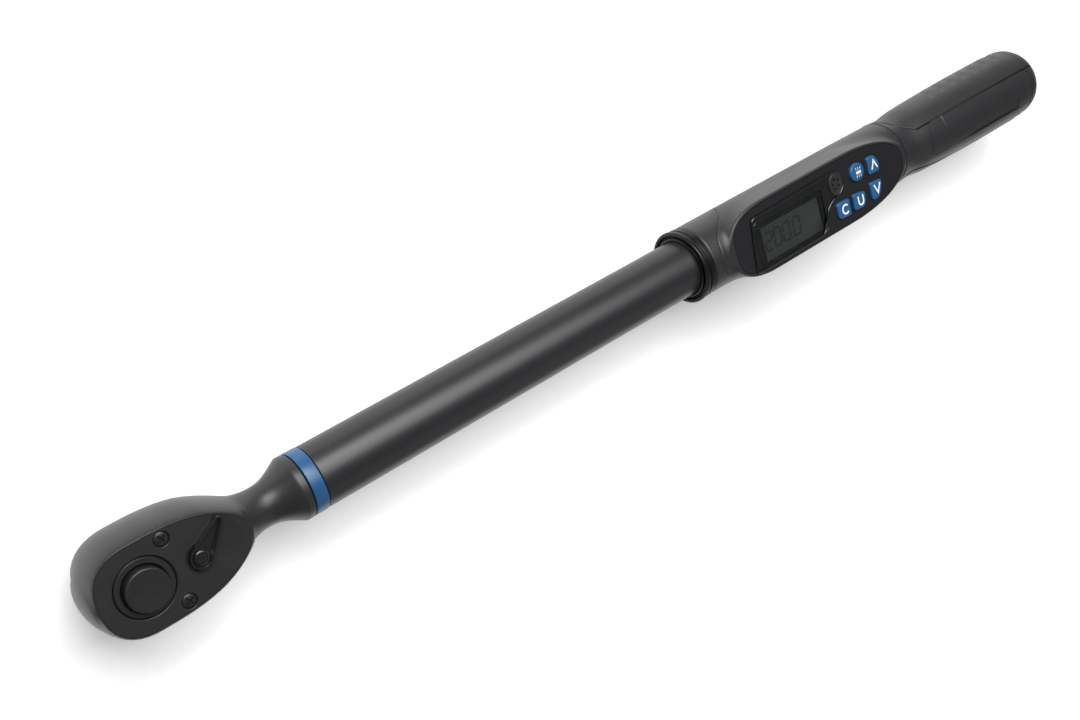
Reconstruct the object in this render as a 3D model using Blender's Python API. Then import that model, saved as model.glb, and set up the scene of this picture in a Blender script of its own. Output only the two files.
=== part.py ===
"""Digital torque wrench with a reversible ratchet head, as separate parts in their working places.

Sizes are in millimetres and the mesh helpers turn them into metres. The frame: the origin is the
centre of the square drive's end face, +X runs along the tool to the grip, and +Z runs up the drive
axis to the face with the reversing lever and the display.
"""
import math

import bmesh
import bpy
from mathutils import Matrix, Vector

MM = 0.001
GAP = 0.3                      # clearance between neighbouring pieces

# Levels on the drive axis
AXIS_Z = 27.5                  # height of the tube's axis above the square drive's end face
HEAD_HALF_THICKNESS = 12.4
FACE_Z = AXIS_Z + HEAD_HALF_THICKNESS
SOLE_Z = AXIS_Z - HEAD_HALF_THICKNESS

# Ratchet head
HEAD_FRONT = 20.3              # from the drive axis to the front tip, at mid thickness
HEAD_HALF_WIDTH = 19.8
FACE_FRONT = 17.3              # the flat face is smaller than the outline all round
FACE_HALF_WIDTH = 16.8
FACE_WIDEST_X = 5.0
FACE_BACK = 42.5
NECK_X = 51.0
NECK_RADIUS = 8.2
BELL_X = 64.3
BELL_RADIUS = 13.2
BELL_END = 66.6
SPIGOT_RADIUS = 10.9
SPIGOT_END = 84.0
RIM = 0.7                      # wall left round the cover plate
COVER_THICKNESS = 2.4

# Drive gear and square drive
DRIVE_SQUARE = 12.7
SQUARE_CHAMFER = 0.9
GEAR_TEETH = 36
GEAR_TIP_RADIUS = 12.4
GEAR_ROOT_RADIUS = 11.4
GEAR_BOTTOM = AXIS_Z - 7.6
GEAR_TOP = AXIS_Z + 6.6
HUB_RADIUS = 10.9
SOLE_HUB_RADIUS = 9.3
CHAMBER_RADIUS = 12.9

# Quick release: button, pin, spring and ball
BUTTON_RADIUS = 8.0
BUTTON_TOP = AXIS_Z + 15.8
BUTTON_UNDERSIDE = AXIS_Z + 11.6
BUTTON_WELL_RADIUS = 8.4
BUTTON_WELL_FLOOR = AXIS_Z + 8.6
SPRING_WELL_RADIUS = 5.0
SPRING_WELL_FLOOR = AXIS_Z + 1.0
PIN_RADIUS = 2.7
PIN_BORE_RADIUS = 3.0
PIN_END = 4.6
BALL_RADIUS = 2.2
BALL_Z = 7.0
BALL_CENTRE = 5.35             # from the drive axis at rest, so the ball stands out of the square
BALL_POCKET_RADIUS = 2.45
BUTTON_TRAVEL = 2.5

# Reversing lever and pawl
LEVER_X = 21.0
LEVER_ANGLE = 42.0             # the lever rests this far round from the tool's axis
LEVER_LENGTH = 15.6
LEVER_HUB_RADIUS = 4.3
LEVER_TIP_RADIUS = 1.5
LEVER_TOP = FACE_Z + 2.2
LEVER_FLOOR = FACE_Z - 0.9
LEVER_RECESS_FLOOR = FACE_Z - 1.3
LEVER_SHAFT_RADIUS = 3.0
LEVER_SHAFT_END = AXIS_Z - 6.6
PAWL_PIN_X = 15.6
PAWL_PIN_RADIUS = 1.1
PAWL_SWING = 5.0               # from the middle to either working side, in degrees
PAWL_BOTTOM = AXIS_Z - 5.0
PAWL_TOP = AXIS_Z + 6.0
COVER_SCREW_X = 11.5
COVER_SCREW_Y = 12.8

# Tube and sensor beam
RING_START = 67.5
RING_END = 72.9
TUBE_RADIUS = 13.0
TUBE_BORE = 11.3
TUBE_START = 73.2
TUBE_END = 420.0
BEAM_HALF_WIDTH = 6.0
BEAM_HALF_HEIGHT = 4.5
BEAM_WAIST = 4.2
BEAM_START = 68.5
BEAM_END = 190.0
GAUGE_X = 112.0
SLEEVE_START = 176.0

# Display housing
COLLAR_START = 270.3
COLLAR_END = 276.4
BARREL_RADIUS = 16.8
BARREL_BORE = 15.0
BARREL_END = 413.0
PANEL_Z = AXIS_Z + 17.0
PANEL_HALF_WIDTH = 17.2
PANEL_FRONT = 288.9
PANEL_BACK = 410.6
PANEL_THICKNESS = 1.5
PARTING_Z = AXIS_Z - 7.3

# Grip
GRIP_START = BARREL_END + GAP
GRIP_END = 533.2
GRIP_PROFILE = [(GRIP_START, 16.8), (418.0, 16.2), (423.0, 16.1), (433.0, 17.2), (444.0, 17.7), (458.0, 18.1),
                (478.0, 18.5), (500.0, 18.6), (512.0, 18.6), (518.0, 18.3)]
DOME_START = 518.0
DOME_RADIUS = 18.3
DOME_POWER = 3.0               # 2 would be an ellipse; more is blunter
GRIP_BORE = 13.6
GRIP_BORE_END = 525.2
PAD_DEPTH = 1.8
PAD_START = GRIP_START + 6.0
PAD_END = 524.6
PAD_LOWEST_ANGLE = -60.0
PAD_ANGLE = 54.0               # from the +Y side up to the edge of the left pad
RIGHT_PAD_ANGLE = 150.0
RIGHT_PAD_LOWEST_ANGLE = 240.0
PAD_SPANS = (("left", PAD_LOWEST_ANGLE, PAD_ANGLE), ("right", RIGHT_PAD_ANGLE, RIGHT_PAD_LOWEST_ANGLE))
GRIP_SCREWS_X = (424.0, 517.0)
HOUSING_SCREWS_X = (284.0, 406.0)
DOOR_HINGE_Z = AXIS_Z + 18.2
CELL_STARTS = (430.5, 475.6)
CELL_LENGTH = 44.5
CELL_RADIUS = 5.1
CONTACT_STARTS = (429.0, 524.2)
TRAY_RADII = (5.6, 7.0)
DOOR_START = 434.0
DOOR_END = 520.0
DOOR_CORNER = 3.0
DOOR_HALF_WIDTH = 8.2
DOOR_THICKNESS = 1.9

ROUND = 36                     # segments of a large circle
SMALL_ROUND = 20

ALONG_X = Vector((1, 0, 0))
ALONG_Z = Vector((0, 0, 1))


# ---------------------------------------------------------------- scene and helpers

for old in list(bpy.data.objects):
    bpy.data.objects.remove(old, do_unlink=True)


def material(name, colour, roughness, metallic=0.0):
    made = bpy.data.materials.new(name)
    made.use_nodes = True
    shader = made.node_tree.nodes["Principled BSDF"]
    shader.inputs["Base Color"].default_value = (*colour, 1.0)
    shader.inputs["Roughness"].default_value = roughness
    shader.inputs["Metallic"].default_value = metallic
    return made


BLACK_COATING = material("black_coating", (0.045, 0.047, 0.050), 0.45, 0.6)
COVER_BLACK = material("cover_black", (0.030, 0.031, 0.032), 0.55, 0.5)
STEEL = material("steel", (0.55, 0.55, 0.56), 0.30, 1.0)
DARK_STEEL = material("dark_steel", (0.10, 0.10, 0.10), 0.40, 1.0)
BLUE = material("blue", (0.040, 0.140, 0.340), 0.45)
HOUSING = material("housing", (0.040, 0.041, 0.043), 0.50)
PANEL = material("panel", (0.018, 0.019, 0.021), 0.40)
GLOSS = material("gloss", (0.008, 0.008, 0.009), 0.12)
LCD = material("lcd", (0.065, 0.075, 0.070), 0.35)
RUBBER = material("rubber", (0.030, 0.030, 0.032), 0.75)
BOARD = material("board", (0.020, 0.120, 0.050), 0.50)
BRASS = material("brass", (0.60, 0.45, 0.18), 0.30, 1.0)
BATTERY = material("battery", (0.20, 0.21, 0.23), 0.35, 0.8)
FOIL = material("foil", (0.55, 0.35, 0.12), 0.40)


def keep(bm, name, finish, origin=(0.0, 0.0, 0.0)):
    """Turns a bmesh drawn in millimetres into an object in metres with its own origin."""
    bmesh.ops.remove_doubles(bm, verts=bm.verts, dist=1e-4)
    bmesh.ops.dissolve_degenerate(bm, edges=bm.edges, dist=1e-5)
    bmesh.ops.recalc_face_normals(bm, faces=bm.faces)
    place = Vector(origin)
    bmesh.ops.translate(bm, verts=bm.verts, vec=-place)
    bmesh.ops.scale(bm, verts=bm.verts, vec=(MM, MM, MM))
    mesh = bpy.data.meshes.new(name)
    bm.to_mesh(mesh)
    bm.free()
    mesh.materials.append(finish)
    mesh.shade_smooth()
    mesh.set_sharp_from_angle(angle=math.radians(35))
    made = bpy.data.objects.new(name, mesh)
    made.location = place * MM
    bpy.context.collection.objects.link(made)
    return made


def cutter(made):
    """Hides a guide solid that only shapes another piece."""
    made.hide_render = True
    made.display_type = "WIRE"
    return made


def boolean(target, tool, operation="DIFFERENCE"):
    step = target.modifiers.new(tool.name, "BOOLEAN")
    step.operation = operation
    step.object = cutter(tool)
    return target


def carve(target, bm, name, operation="DIFFERENCE"):
    """Shapes a piece with a guide solid made on the spot."""
    return boolean(target, keep(bm, name, STEEL), operation)


def ring_faces(bm, rings, closed_ends=True):
    """Skins rings of vertices that all have the same count."""
    count = len(rings[0])
    for low, high in zip(rings, rings[1:]):
        for k in range(count):
            after = (k + 1) % count
            bm.faces.new((low[k], low[after], high[after], high[k]))
    if closed_ends:
        bm.faces.new(rings[0])
        bm.faces.new(rings[-1])


def prism(outline, low, high):
    """A flat outline in X and Y, stretched from one height to another."""
    bm = bmesh.new()
    rings = [[bm.verts.new((x, y, z)) for x, y in outline] for z in (low, high)]
    ring_faces(bm, rings)
    return bm


def turned(profile, axis=ALONG_X, centre=(0.0, 0.0, AXIS_Z), segments=ROUND):
    """Spins a closed profile of (along, radius) points round an axis through the centre."""
    bm = bmesh.new()
    side = ALONG_Z if axis == ALONG_X else ALONG_X
    start = Vector(centre)
    loop = [bm.verts.new(start + axis * along + side * radius) for along, radius in profile]
    ends = list(zip(profile, profile[1:] + profile[:1]))
    pairs = zip(loop, loop[1:] + loop[:1], ends)
    edges = [bm.edges.new((a, b)) for a, b, (near, far) in pairs if near[1] or far[1]]
    bmesh.ops.spin(bm, geom=edges, cent=start, axis=axis, angle=math.tau, steps=segments, use_merge=True)
    bmesh.ops.remove_doubles(bm, verts=bm.verts, dist=1e-4)
    return bm


def rod(radius, low, high, centre=(0.0, 0.0), segments=SMALL_ROUND):
    """An upright round bar."""
    outline = circle(radius, centre, segments)
    return prism(outline, low, high)


def trough(x0, x1, radius, cut_z, above):
    """A round bar along X, cut flat at a height, of which the part above or below is left."""
    lean = math.degrees(math.asin((cut_z - AXIS_Z) / radius))
    angles = (lean, 180 - lean) if above else (180 - lean, 360 + lean)
    outline = arc((0.0, AXIS_Z), radius, *angles, ROUND // 2 + 1)
    bm = bmesh.new()
    rings = [[bm.verts.new((x, y, z)) for y, z in outline] for x in (x0, x1)]
    ring_faces(bm, rings)
    return bm


def circle(radius, centre=(0.0, 0.0), segments=SMALL_ROUND):
    turn = [math.tau * k / segments for k in range(segments)]
    return [(centre[0] + radius * math.cos(a), centre[1] + radius * math.sin(a)) for a in turn]


def box(low, high):
    corners = [(low[0], low[1]), (high[0], low[1]), (high[0], high[1]), (low[0], high[1])]
    return prism(corners, low[2], high[2])


def arc(centre, radius, start, end, steps):
    """Points on an arc, from one angle to another in degrees."""
    angles = [math.radians(start + (end - start) * k / steps) for k in range(steps + 1)]
    return [(centre[0] + radius * math.cos(a), centre[1] + radius * math.sin(a)) for a in angles]


def rounded_rectangle(x0, x1, y0, y1, radius, steps=5):
    corners = (((x1 - radius, y0 + radius), -90), ((x1 - radius, y1 - radius), 0),
               ((x0 + radius, y1 - radius), 90), ((x0 + radius, y0 + radius), 180))
    outline = []
    for centre, start in corners:
        outline += arc(centre, radius, start, start + 90, steps)
    return outline


def smooth(points, x):
    """Reads a smooth curve through (x, value) points, flat at its ends."""
    if x <= points[0][0]:
        return points[0][1]
    for k, ((xa, va), (xb, vb)) in enumerate(zip(points, points[1:])):
        if x <= xb:
            before = points[k - 1] if k else (xa, va)
            after = points[k + 2] if k + 2 < len(points) else (xb, vb)
            slope_a = (vb - before[1]) / (xb - before[0])
            slope_b = (after[1] - va) / (after[0] - xa)
            t = (x - xa) / (xb - xa)
            span = xb - xa
            return ((2 * t**3 - 3 * t**2 + 1) * va + (t**3 - 2 * t**2 + t) * span * slope_a
                    + (3 * t**2 - 2 * t**3) * vb + (t**3 - t**2) * span * slope_b)
    return points[-1][1]


def coil(name, finish, centre, radius, wire, low, high, turns, axis="Z", end_radius=None):
    """A wound spring, as a curve with a round bevel."""
    steps = 9
    end_radius = radius if end_radius is None else end_radius
    curve = bpy.data.curves.new(name, "CURVE")
    curve.dimensions = "3D"
    curve.bevel_depth = wire * MM
    curve.bevel_resolution = 0
    curve.use_fill_caps = True
    spline = curve.splines.new("POLY")
    count = turns * steps + 1
    spline.points.add(count - 1)
    for k in range(count):
        part = k / (count - 1)
        reach = radius + (end_radius - radius) * part
        angle = math.tau * k / steps
        across = (reach * math.cos(angle), reach * math.sin(angle))
        along = low + (high - low) * part
        if axis == "Z":
            point = Vector((across[0], across[1], along - centre[2]))
        else:
            point = Vector((along - centre[0], across[0], across[1]))
        spline.points[k].co = (*(point * MM), 1.0)
    curve.materials.append(finish)
    made = bpy.data.objects.new(name, curve)
    made.location = Vector(centre) * MM
    bpy.context.collection.objects.link(made)
    return made


# ---------------------------------------------------------------- ratchet head

HEAD_SIDE = [(0.0, 19.8), (8.0, 19.75), (15.0, 19.2), (20.6, 18.5), (26.0, 17.2), (31.0, 15.1), (36.5, 12.3),
             (42.0, 9.4), (47.0, 8.3), (NECK_X, NECK_RADIUS), (55.0, 8.7), (59.0, 10.3),
              (BELL_X, BELL_RADIUS)]
HEAD_CROWN = [(36.0, HEAD_HALF_THICKNESS), (41.0, 12.1), (46.0, 9.7), (NECK_X, NECK_RADIUS), (55.0, 8.7),
              (59.0, 10.3), (BELL_X, BELL_RADIUS)]


def face_half_width(x):
    """Half the width of the head's flat face, a rounded front and a pointed back."""
    if x < 0.0:
        return FACE_HALF_WIDTH * max(0.0, 1 - (-x / FACE_FRONT) ** 2.4) ** (1 / 2.4)
    if x < FACE_WIDEST_X:
        return FACE_HALF_WIDTH
    part = (x - FACE_WIDEST_X) / (FACE_BACK - FACE_WIDEST_X)
    return FACE_HALF_WIDTH * max(0.0, 1 - part ** 2.4) ** 0.625


def head_half_width(x):
    if x < 0.0:
        return HEAD_HALF_WIDTH * math.sqrt(max(0.0, 1 - (x / HEAD_FRONT) ** 2))
    return smooth(HEAD_SIDE, x)


def head_half_height(x):
    if x < -FACE_FRONT:
        part = (-x - FACE_FRONT) / (HEAD_FRONT - FACE_FRONT)
        return HEAD_HALF_THICKNESS * math.sqrt(max(0.0, 1 - part ** 2))
    return smooth(HEAD_CROWN, x)


def face_outline(inset=0.0, steps=20):
    """The flat face's outline, moved inwards by the inset."""
    front = -FACE_FRONT
    xs = [front + (FACE_BACK - front) * (1 - math.cos(math.pi * k / steps)) / 2 for k in range(steps + 1)]
    half = [Vector((x, face_half_width(x))) for x in xs]
    outline = half[:0:-1] + [Vector((p.x, -p.y)) for p in half[:-1]]
    moved = []
    for k, point in enumerate(outline):
        ahead = outline[(k + 1) % len(outline)] - outline[k - 1]
        inwards = Vector((-ahead.y, ahead.x)).normalized()
        moved.append(tuple(point + inwards * inset))
    return moved


def head_section(x, steps=5):
    """One cross-section: flat faces above and below, joined by quarter-ellipse sides."""
    wide, flat, high = head_half_width(x), face_half_width(x), head_half_height(x)
    quarter = []
    for k in range(steps + 1):
        turn = math.pi / 2 * k / steps
        quarter.append((flat + (wide - flat) * math.sin(turn), high * math.cos(turn)))
    right = quarter + [(y, -z) for y, z in quarter[-2::-1]]
    return right + [(-y, z) for y, z in reversed(right)]


def make_head():
    front = [-HEAD_FRONT * math.cos(math.radians(a)) for a in (8, 18, 29, 42, 57, 73)]
    back = [0, 8, 16, 24, 30, 36, 40, 43, 46, 49, 52, 55, 57.5, 60, 62, BELL_X]
    bm = bmesh.new()
    rings = []
    for x in front + back:
        rings.append([bm.verts.new((x, y, AXIS_Z + z)) for y, z in head_section(x)])
    round_part = ((BELL_END - 0.5, BELL_RADIUS), (BELL_END, BELL_RADIUS - 0.5), (BELL_END, SPIGOT_RADIUS),
                  (SPIGOT_END, SPIGOT_RADIUS))
    count = len(rings[0])
    for x, radius in round_part:
        turns = [math.atan2(v.co.y, v.co.z - AXIS_Z) for v in rings[-1]]
        rings.append([bm.verts.new((x, radius * math.sin(a), AXIS_Z + radius * math.cos(a))) for a in turns])
    for low, high in zip(rings, rings[1:]):
        for k in range(count):
            after = (k + 1) % count
            bm.faces.new((low[k], low[after], high[after], high[k]))
    tip = bm.verts.new((-HEAD_FRONT, 0, AXIS_Z))
    for k in range(count):
        bm.faces.new((rings[0][k], rings[0][(k + 1) % count], tip))
    bm.faces.new(rings[-1])
    head = keep(bm, "ratchet_head", BLACK_COATING)

    floor = FACE_Z - COVER_THICKNESS - GAP
    carve(head, prism(face_outline(RIM), floor, FACE_Z + 3), "cut_cover_recess")
    carve(head, rod(CHAMBER_RADIUS, GEAR_BOTTOM - GAP, FACE_Z, segments=ROUND), "cut_gear_chamber")
    carve(head, rod(SOLE_HUB_RADIUS + GAP, SOLE_Z - 3, GEAR_BOTTOM + 1, segments=ROUND), "cut_sole")
    pocket = rounded_rectangle(6.0, 19.6, -10.2, 10.2, 2.0)
    carve(head, prism(pocket, PAWL_BOTTOM - GAP, FACE_Z), "cut_pawl_pocket")
    shaft_room = rod(LEVER_SHAFT_RADIUS + GAP, LEVER_SHAFT_END - GAP, FACE_Z, (LEVER_X, 0))
    carve(head, shaft_room, "cut_lever_shaft")
    for side in (1, -1):
        hole = rod(1.9, FACE_Z - 9.5, FACE_Z, (COVER_SCREW_X, side * COVER_SCREW_Y), 12)
        carve(head, hole, f"cut_cover_screw_{side}")
    slot = box((SPIGOT_END - 17.0, -BEAM_HALF_WIDTH - GAP, AXIS_Z - BEAM_HALF_HEIGHT - GAP),
               (SPIGOT_END + 2, BEAM_HALF_WIDTH + GAP, AXIS_Z + BEAM_HALF_HEIGHT + GAP))
    carve(head, slot, "cut_beam_slot")
    pin_hole = rod(2.3, AXIS_Z - 20, AXIS_Z + 20, (79.0, 0), 16)
    carve(head, pin_hole, "cut_beam_pin")
    return head


def lever_fan(radius, grow, low, high, name):
    """The lever's sweep: a fan round its pivot, wide enough for both working positions."""
    outline = arc((LEVER_X, 0), radius, -LEVER_ANGLE - 9, LEVER_ANGLE + 9, 14)
    outline += arc((LEVER_X, 0), LEVER_HUB_RADIUS + grow, 100, 260, 12)
    return keep(prism(outline, low, high), name, STEEL)


def make_cover():
    cover = keep(prism(face_outline(RIM + GAP), FACE_Z - COVER_THICKNESS, FACE_Z), "cover_plate", COVER_BLACK)
    carve(cover, rod(HUB_RADIUS + GAP, FACE_Z - 5, FACE_Z + 3, segments=ROUND), "cut_cover_hub")
    boolean(cover, lever_fan(LEVER_LENGTH + 1.4, 0.8, LEVER_RECESS_FLOOR, FACE_Z + 3, "cut_lever_recess"))
    shaft = rod(LEVER_SHAFT_RADIUS + GAP, FACE_Z - 5, FACE_Z + 3, (LEVER_X, 0))
    carve(cover, shaft, "cut_cover_shaft")
    for side in (1, -1):
        place = (COVER_SCREW_X, side * COVER_SCREW_Y)
        through = rod(1.9, FACE_Z - 5, FACE_Z + 3, place, 12)
        carve(cover, through, f"cut_screw_through_{side}")
        sink = rod(2.9, FACE_Z - 1.3, FACE_Z + 3, place, 20)
        carve(cover, sink, f"cut_screw_sink_{side}")
    return cover


def make_cross_screw(name, place, head_radius, head_low, head_high, shank_radius, shank_end, finish):
    """A cross-recess screw; its head is above its shank if head_high is, and below it otherwise."""
    up = 1 if head_high > head_low else -1
    profile = [(shank_end, 0.0), (head_high, 0.0), (head_high, head_radius - 0.35),
               (head_high - 0.35 * up, head_radius), (head_low, head_radius), (head_low, shank_radius),
               (shank_end, shank_radius)]
    screw = keep(turned(profile, ALONG_Z, (*place, 0.0), 16), name, finish, (*place, head_low))
    depth = 0.9 * up
    for turn in (0, 1):
        long, short = head_radius * 0.62, head_radius * 0.16
        half = (long, short) if turn else (short, long)
        low, high = sorted((head_high - depth, head_high + up))
        x, y = place
        groove = box((x - half[0], y - half[1], low), (x + half[0], y + half[1], high))
        carve(screw, groove, f"cut_{name}_{turn}")
    return screw


def make_drive():
    """The gear, its hub, the square and the bores for the release, all one forging."""
    outline = []
    step = math.tau / GEAR_TEETH
    for k in range(GEAR_TEETH):
        for part, radius in ((-0.5, GEAR_ROOT_RADIUS), (-0.08, GEAR_TIP_RADIUS), (0.08, GEAR_TIP_RADIUS)):
            angle = (k + part) * step
            outline.append((radius * math.cos(angle), radius * math.sin(angle)))
    drive = keep(prism(outline, GEAR_BOTTOM, GEAR_TOP), "drive_gear", DARK_STEEL)
    hub = rod(HUB_RADIUS, GEAR_TOP - 1, FACE_Z - 0.1, segments=ROUND)
    carve(drive, hub, "add_hub", "UNION")
    sole = rod(SOLE_HUB_RADIUS, SOLE_Z + 0.1, GEAR_BOTTOM + 1, segments=ROUND)
    carve(drive, sole, "add_sole_hub", "UNION")
    half, chamfer = DRIVE_SQUARE / 2, SQUARE_CHAMFER
    bm = bmesh.new()
    rings = []
    for z, size in ((0.0, half - chamfer), (chamfer, half), (SOLE_Z + 1, half)):
        corner = size - 0.9
        ring = [(size, corner), (corner, size), (-corner, size), (-size, corner),
                (-size, -corner), (-corner, -size), (corner, -size), (size, -corner)]
        rings.append([bm.verts.new((x, y, z)) for x, y in ring])
    ring_faces(bm, rings)
    carve(drive, bm, "add_square", "UNION")
    well = rod(BUTTON_WELL_RADIUS, BUTTON_WELL_FLOOR, FACE_Z + 2, segments=ROUND)
    carve(drive, well, "cut_button_well")
    spring = rod(SPRING_WELL_RADIUS, SPRING_WELL_FLOOR, FACE_Z)
    carve(drive, spring, "cut_spring_well")
    bore_floor = PIN_END - BUTTON_TRAVEL - GAP
    carve(drive, rod(PIN_BORE_RADIUS, bore_floor, FACE_Z), "cut_pin_bore")
    profile = [(0.0, 0.0), (0.0, BALL_POCKET_RADIUS), (-10.0, BALL_POCKET_RADIUS), (-10.0, 0.0)]
    pocket = turned(profile, ALONG_X, (0, 0, BALL_Z), 20)
    carve(drive, pocket, "cut_ball_pocket")
    return drive


def make_release():
    dome = [(BUTTON_UNDERSIDE, 0.0), (BUTTON_TOP, 0.0), (BUTTON_TOP, BUTTON_RADIUS - 1.1),
            (BUTTON_TOP - 0.3, BUTTON_RADIUS - 0.4), (BUTTON_TOP - 1.0, BUTTON_RADIUS),
            (BUTTON_UNDERSIDE, BUTTON_RADIUS)]
    keep(turned(dome, ALONG_Z, (0, 0, 0)), "quick_release_button", COVER_BLACK, (0, 0, BUTTON_UNDERSIDE))
    top = BUTTON_UNDERSIDE - GAP
    waist = BALL_Z + BUTTON_TRAVEL
    profile = [(PIN_END, 0.0), (top, 0.0), (top, PIN_RADIUS), (waist + 4.0, PIN_RADIUS), (waist + 2.4, 1.4),
               (waist, 1.4), (BALL_Z, PIN_RADIUS), (PIN_END, PIN_RADIUS)]
    keep(turned(profile, ALONG_Z, (0, 0, 0), 20), "release_pin", STEEL, (0, 0, PIN_END))
    coil("release_spring", STEEL, (0, 0, SPRING_WELL_FLOOR + 0.8), 4.0, 0.4, SPRING_WELL_FLOOR + 0.8,
         BUTTON_UNDERSIDE - 0.8, 5)
    ball = bmesh.new()
    bmesh.ops.create_uvsphere(ball, u_segments=16, v_segments=10, radius=BALL_RADIUS)
    bmesh.ops.translate(ball, verts=ball.verts, vec=(-BALL_CENTRE, 0, BALL_Z))
    keep(ball, "detent_ball", STEEL, (-BALL_CENTRE, 0, BALL_Z))


def about(point, centre, degrees):
    """Turns a point in the plane round a centre."""
    a = math.radians(degrees)
    dx, dy = point[0] - centre[0], point[1] - centre[1]
    return (centre[0] + dx * math.cos(a) - dy * math.sin(a), centre[1] + dx * math.sin(a) + dy * math.cos(a))


def teardrop(hub, tip, length, steps=12):
    """The lever's outline, turned to its rest angle: a round hub and a narrow round tip."""
    reach = length - tip
    lean = math.degrees(math.acos((hub - tip) / reach))
    outline = arc((LEVER_X, 0), hub, lean, 360 - lean, steps)
    outline += arc((LEVER_X + reach, 0), tip, -lean, lean, steps // 2)
    return [about(point, (LEVER_X, 0), LEVER_ANGLE) for point in outline]


def make_lever():
    pivot = (LEVER_X, 0.0, LEVER_FLOOR)
    lever = keep(prism(teardrop(LEVER_HUB_RADIUS, LEVER_TIP_RADIUS, LEVER_LENGTH), FACE_Z + GAP, LEVER_TOP),
                 "reversing_lever", GLOSS, pivot)
    hub = rod(LEVER_HUB_RADIUS - 0.2, LEVER_FLOOR, FACE_Z + 1, (LEVER_X, 0))
    carve(lever, hub, "add_lever_hub", "UNION")
    hollow = prism(teardrop(LEVER_HUB_RADIUS - 0.9, LEVER_TIP_RADIUS - 0.8, LEVER_LENGTH - 1.2),
                   LEVER_TOP - 1.3,
                   LEVER_TOP + 1)
    carve(lever, hollow, "cut_lever_hollow")
    shaft = rod(LEVER_SHAFT_RADIUS, LEVER_SHAFT_END, LEVER_FLOOR + 1, (LEVER_X, 0))
    carve(lever, shaft, "add_lever_shaft", "UNION")
    cap = rod(3.0, LEVER_TOP - 1.8, LEVER_TOP - 0.2, (LEVER_X, 0))
    carve(lever, cap, "add_lever_cap", "UNION")
    away = math.radians(180 + LEVER_ANGLE)
    outwards = Vector((math.cos(away), math.sin(away), 0))
    level = AXIS_Z + 0.5
    start = Vector((LEVER_X, 0, level))
    profile = [(-1.6, 0.0), (6.0, 0.0), (6.0, 1.45), (-1.6, 1.45)]
    bore = turned([(along, radius) for along, radius in profile], ALONG_X, (0, 0, 0), 16)
    bmesh.ops.rotate(bore, verts=bore.verts, cent=(0, 0, 0), matrix=Matrix.Rotation(away, 3, "Z"))
    bmesh.ops.translate(bore, verts=bore.verts, vec=start)
    carve(lever, bore, "cut_plunger_bore")
    ball = bmesh.new()
    bmesh.ops.create_uvsphere(ball, u_segments=12, v_segments=8, radius=1.1)
    place = start + outwards * 2.3
    bmesh.ops.translate(ball, verts=ball.verts, vec=place)
    keep(ball, "selector_ball", STEEL, place)
    ends = (LEVER_X - 1.2, LEVER_X + 0.8)
    spring = coil("selector_spring", STEEL, (LEVER_X, 0, level), 0.8, 0.17, *ends, 4, "X")
    spring.rotation_euler = (0, 0, away)
    return lever


def make_pawl():
    pin = (PAWL_PIN_X, 0.0)
    clear = GEAR_TIP_RADIUS + 0.35
    engaged = []
    for angle in (25.0, 35.0):
        for part, radius in ((-3.3, clear - 0.1), (0.0, GEAR_ROOT_RADIUS + 0.35), (3.3, clear - 0.1)):
            a = math.radians(angle + part)
            engaged.append((radius * math.cos(a), radius * math.sin(a)))
    engaged.append((clear * math.cos(math.radians(39.5)), clear * math.sin(math.radians(39.5))))
    middle = [about(point, pin, -PAWL_SWING) for point in engaged]
    inner = arc((0, 0), 13.1, 0, 19, 3)[1:]
    half = inner + middle + [(11.6, 9.0), (14.4, 8.0), (17.4, 4.4)]
    outline = half + [(x, -y) for x, y in reversed(half)]
    outline = [about(point, pin, -PAWL_SWING) for point in outline]
    pawl = keep(prism(outline, PAWL_BOTTOM, PAWL_TOP), "pawl", DARK_STEEL, (*pin, PAWL_BOTTOM))
    carve(pawl, rod(PAWL_PIN_RADIUS + 0.06, PAWL_BOTTOM - 2, PAWL_TOP + 2, pin, 20), "cut_pawl_pin")
    keep(rod(PAWL_PIN_RADIUS, PAWL_BOTTOM, FACE_Z - COVER_THICKNESS - GAP, pin, 20), "pawl_pin", STEEL)


# ---------------------------------------------------------------- tube and sensor beam

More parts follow.
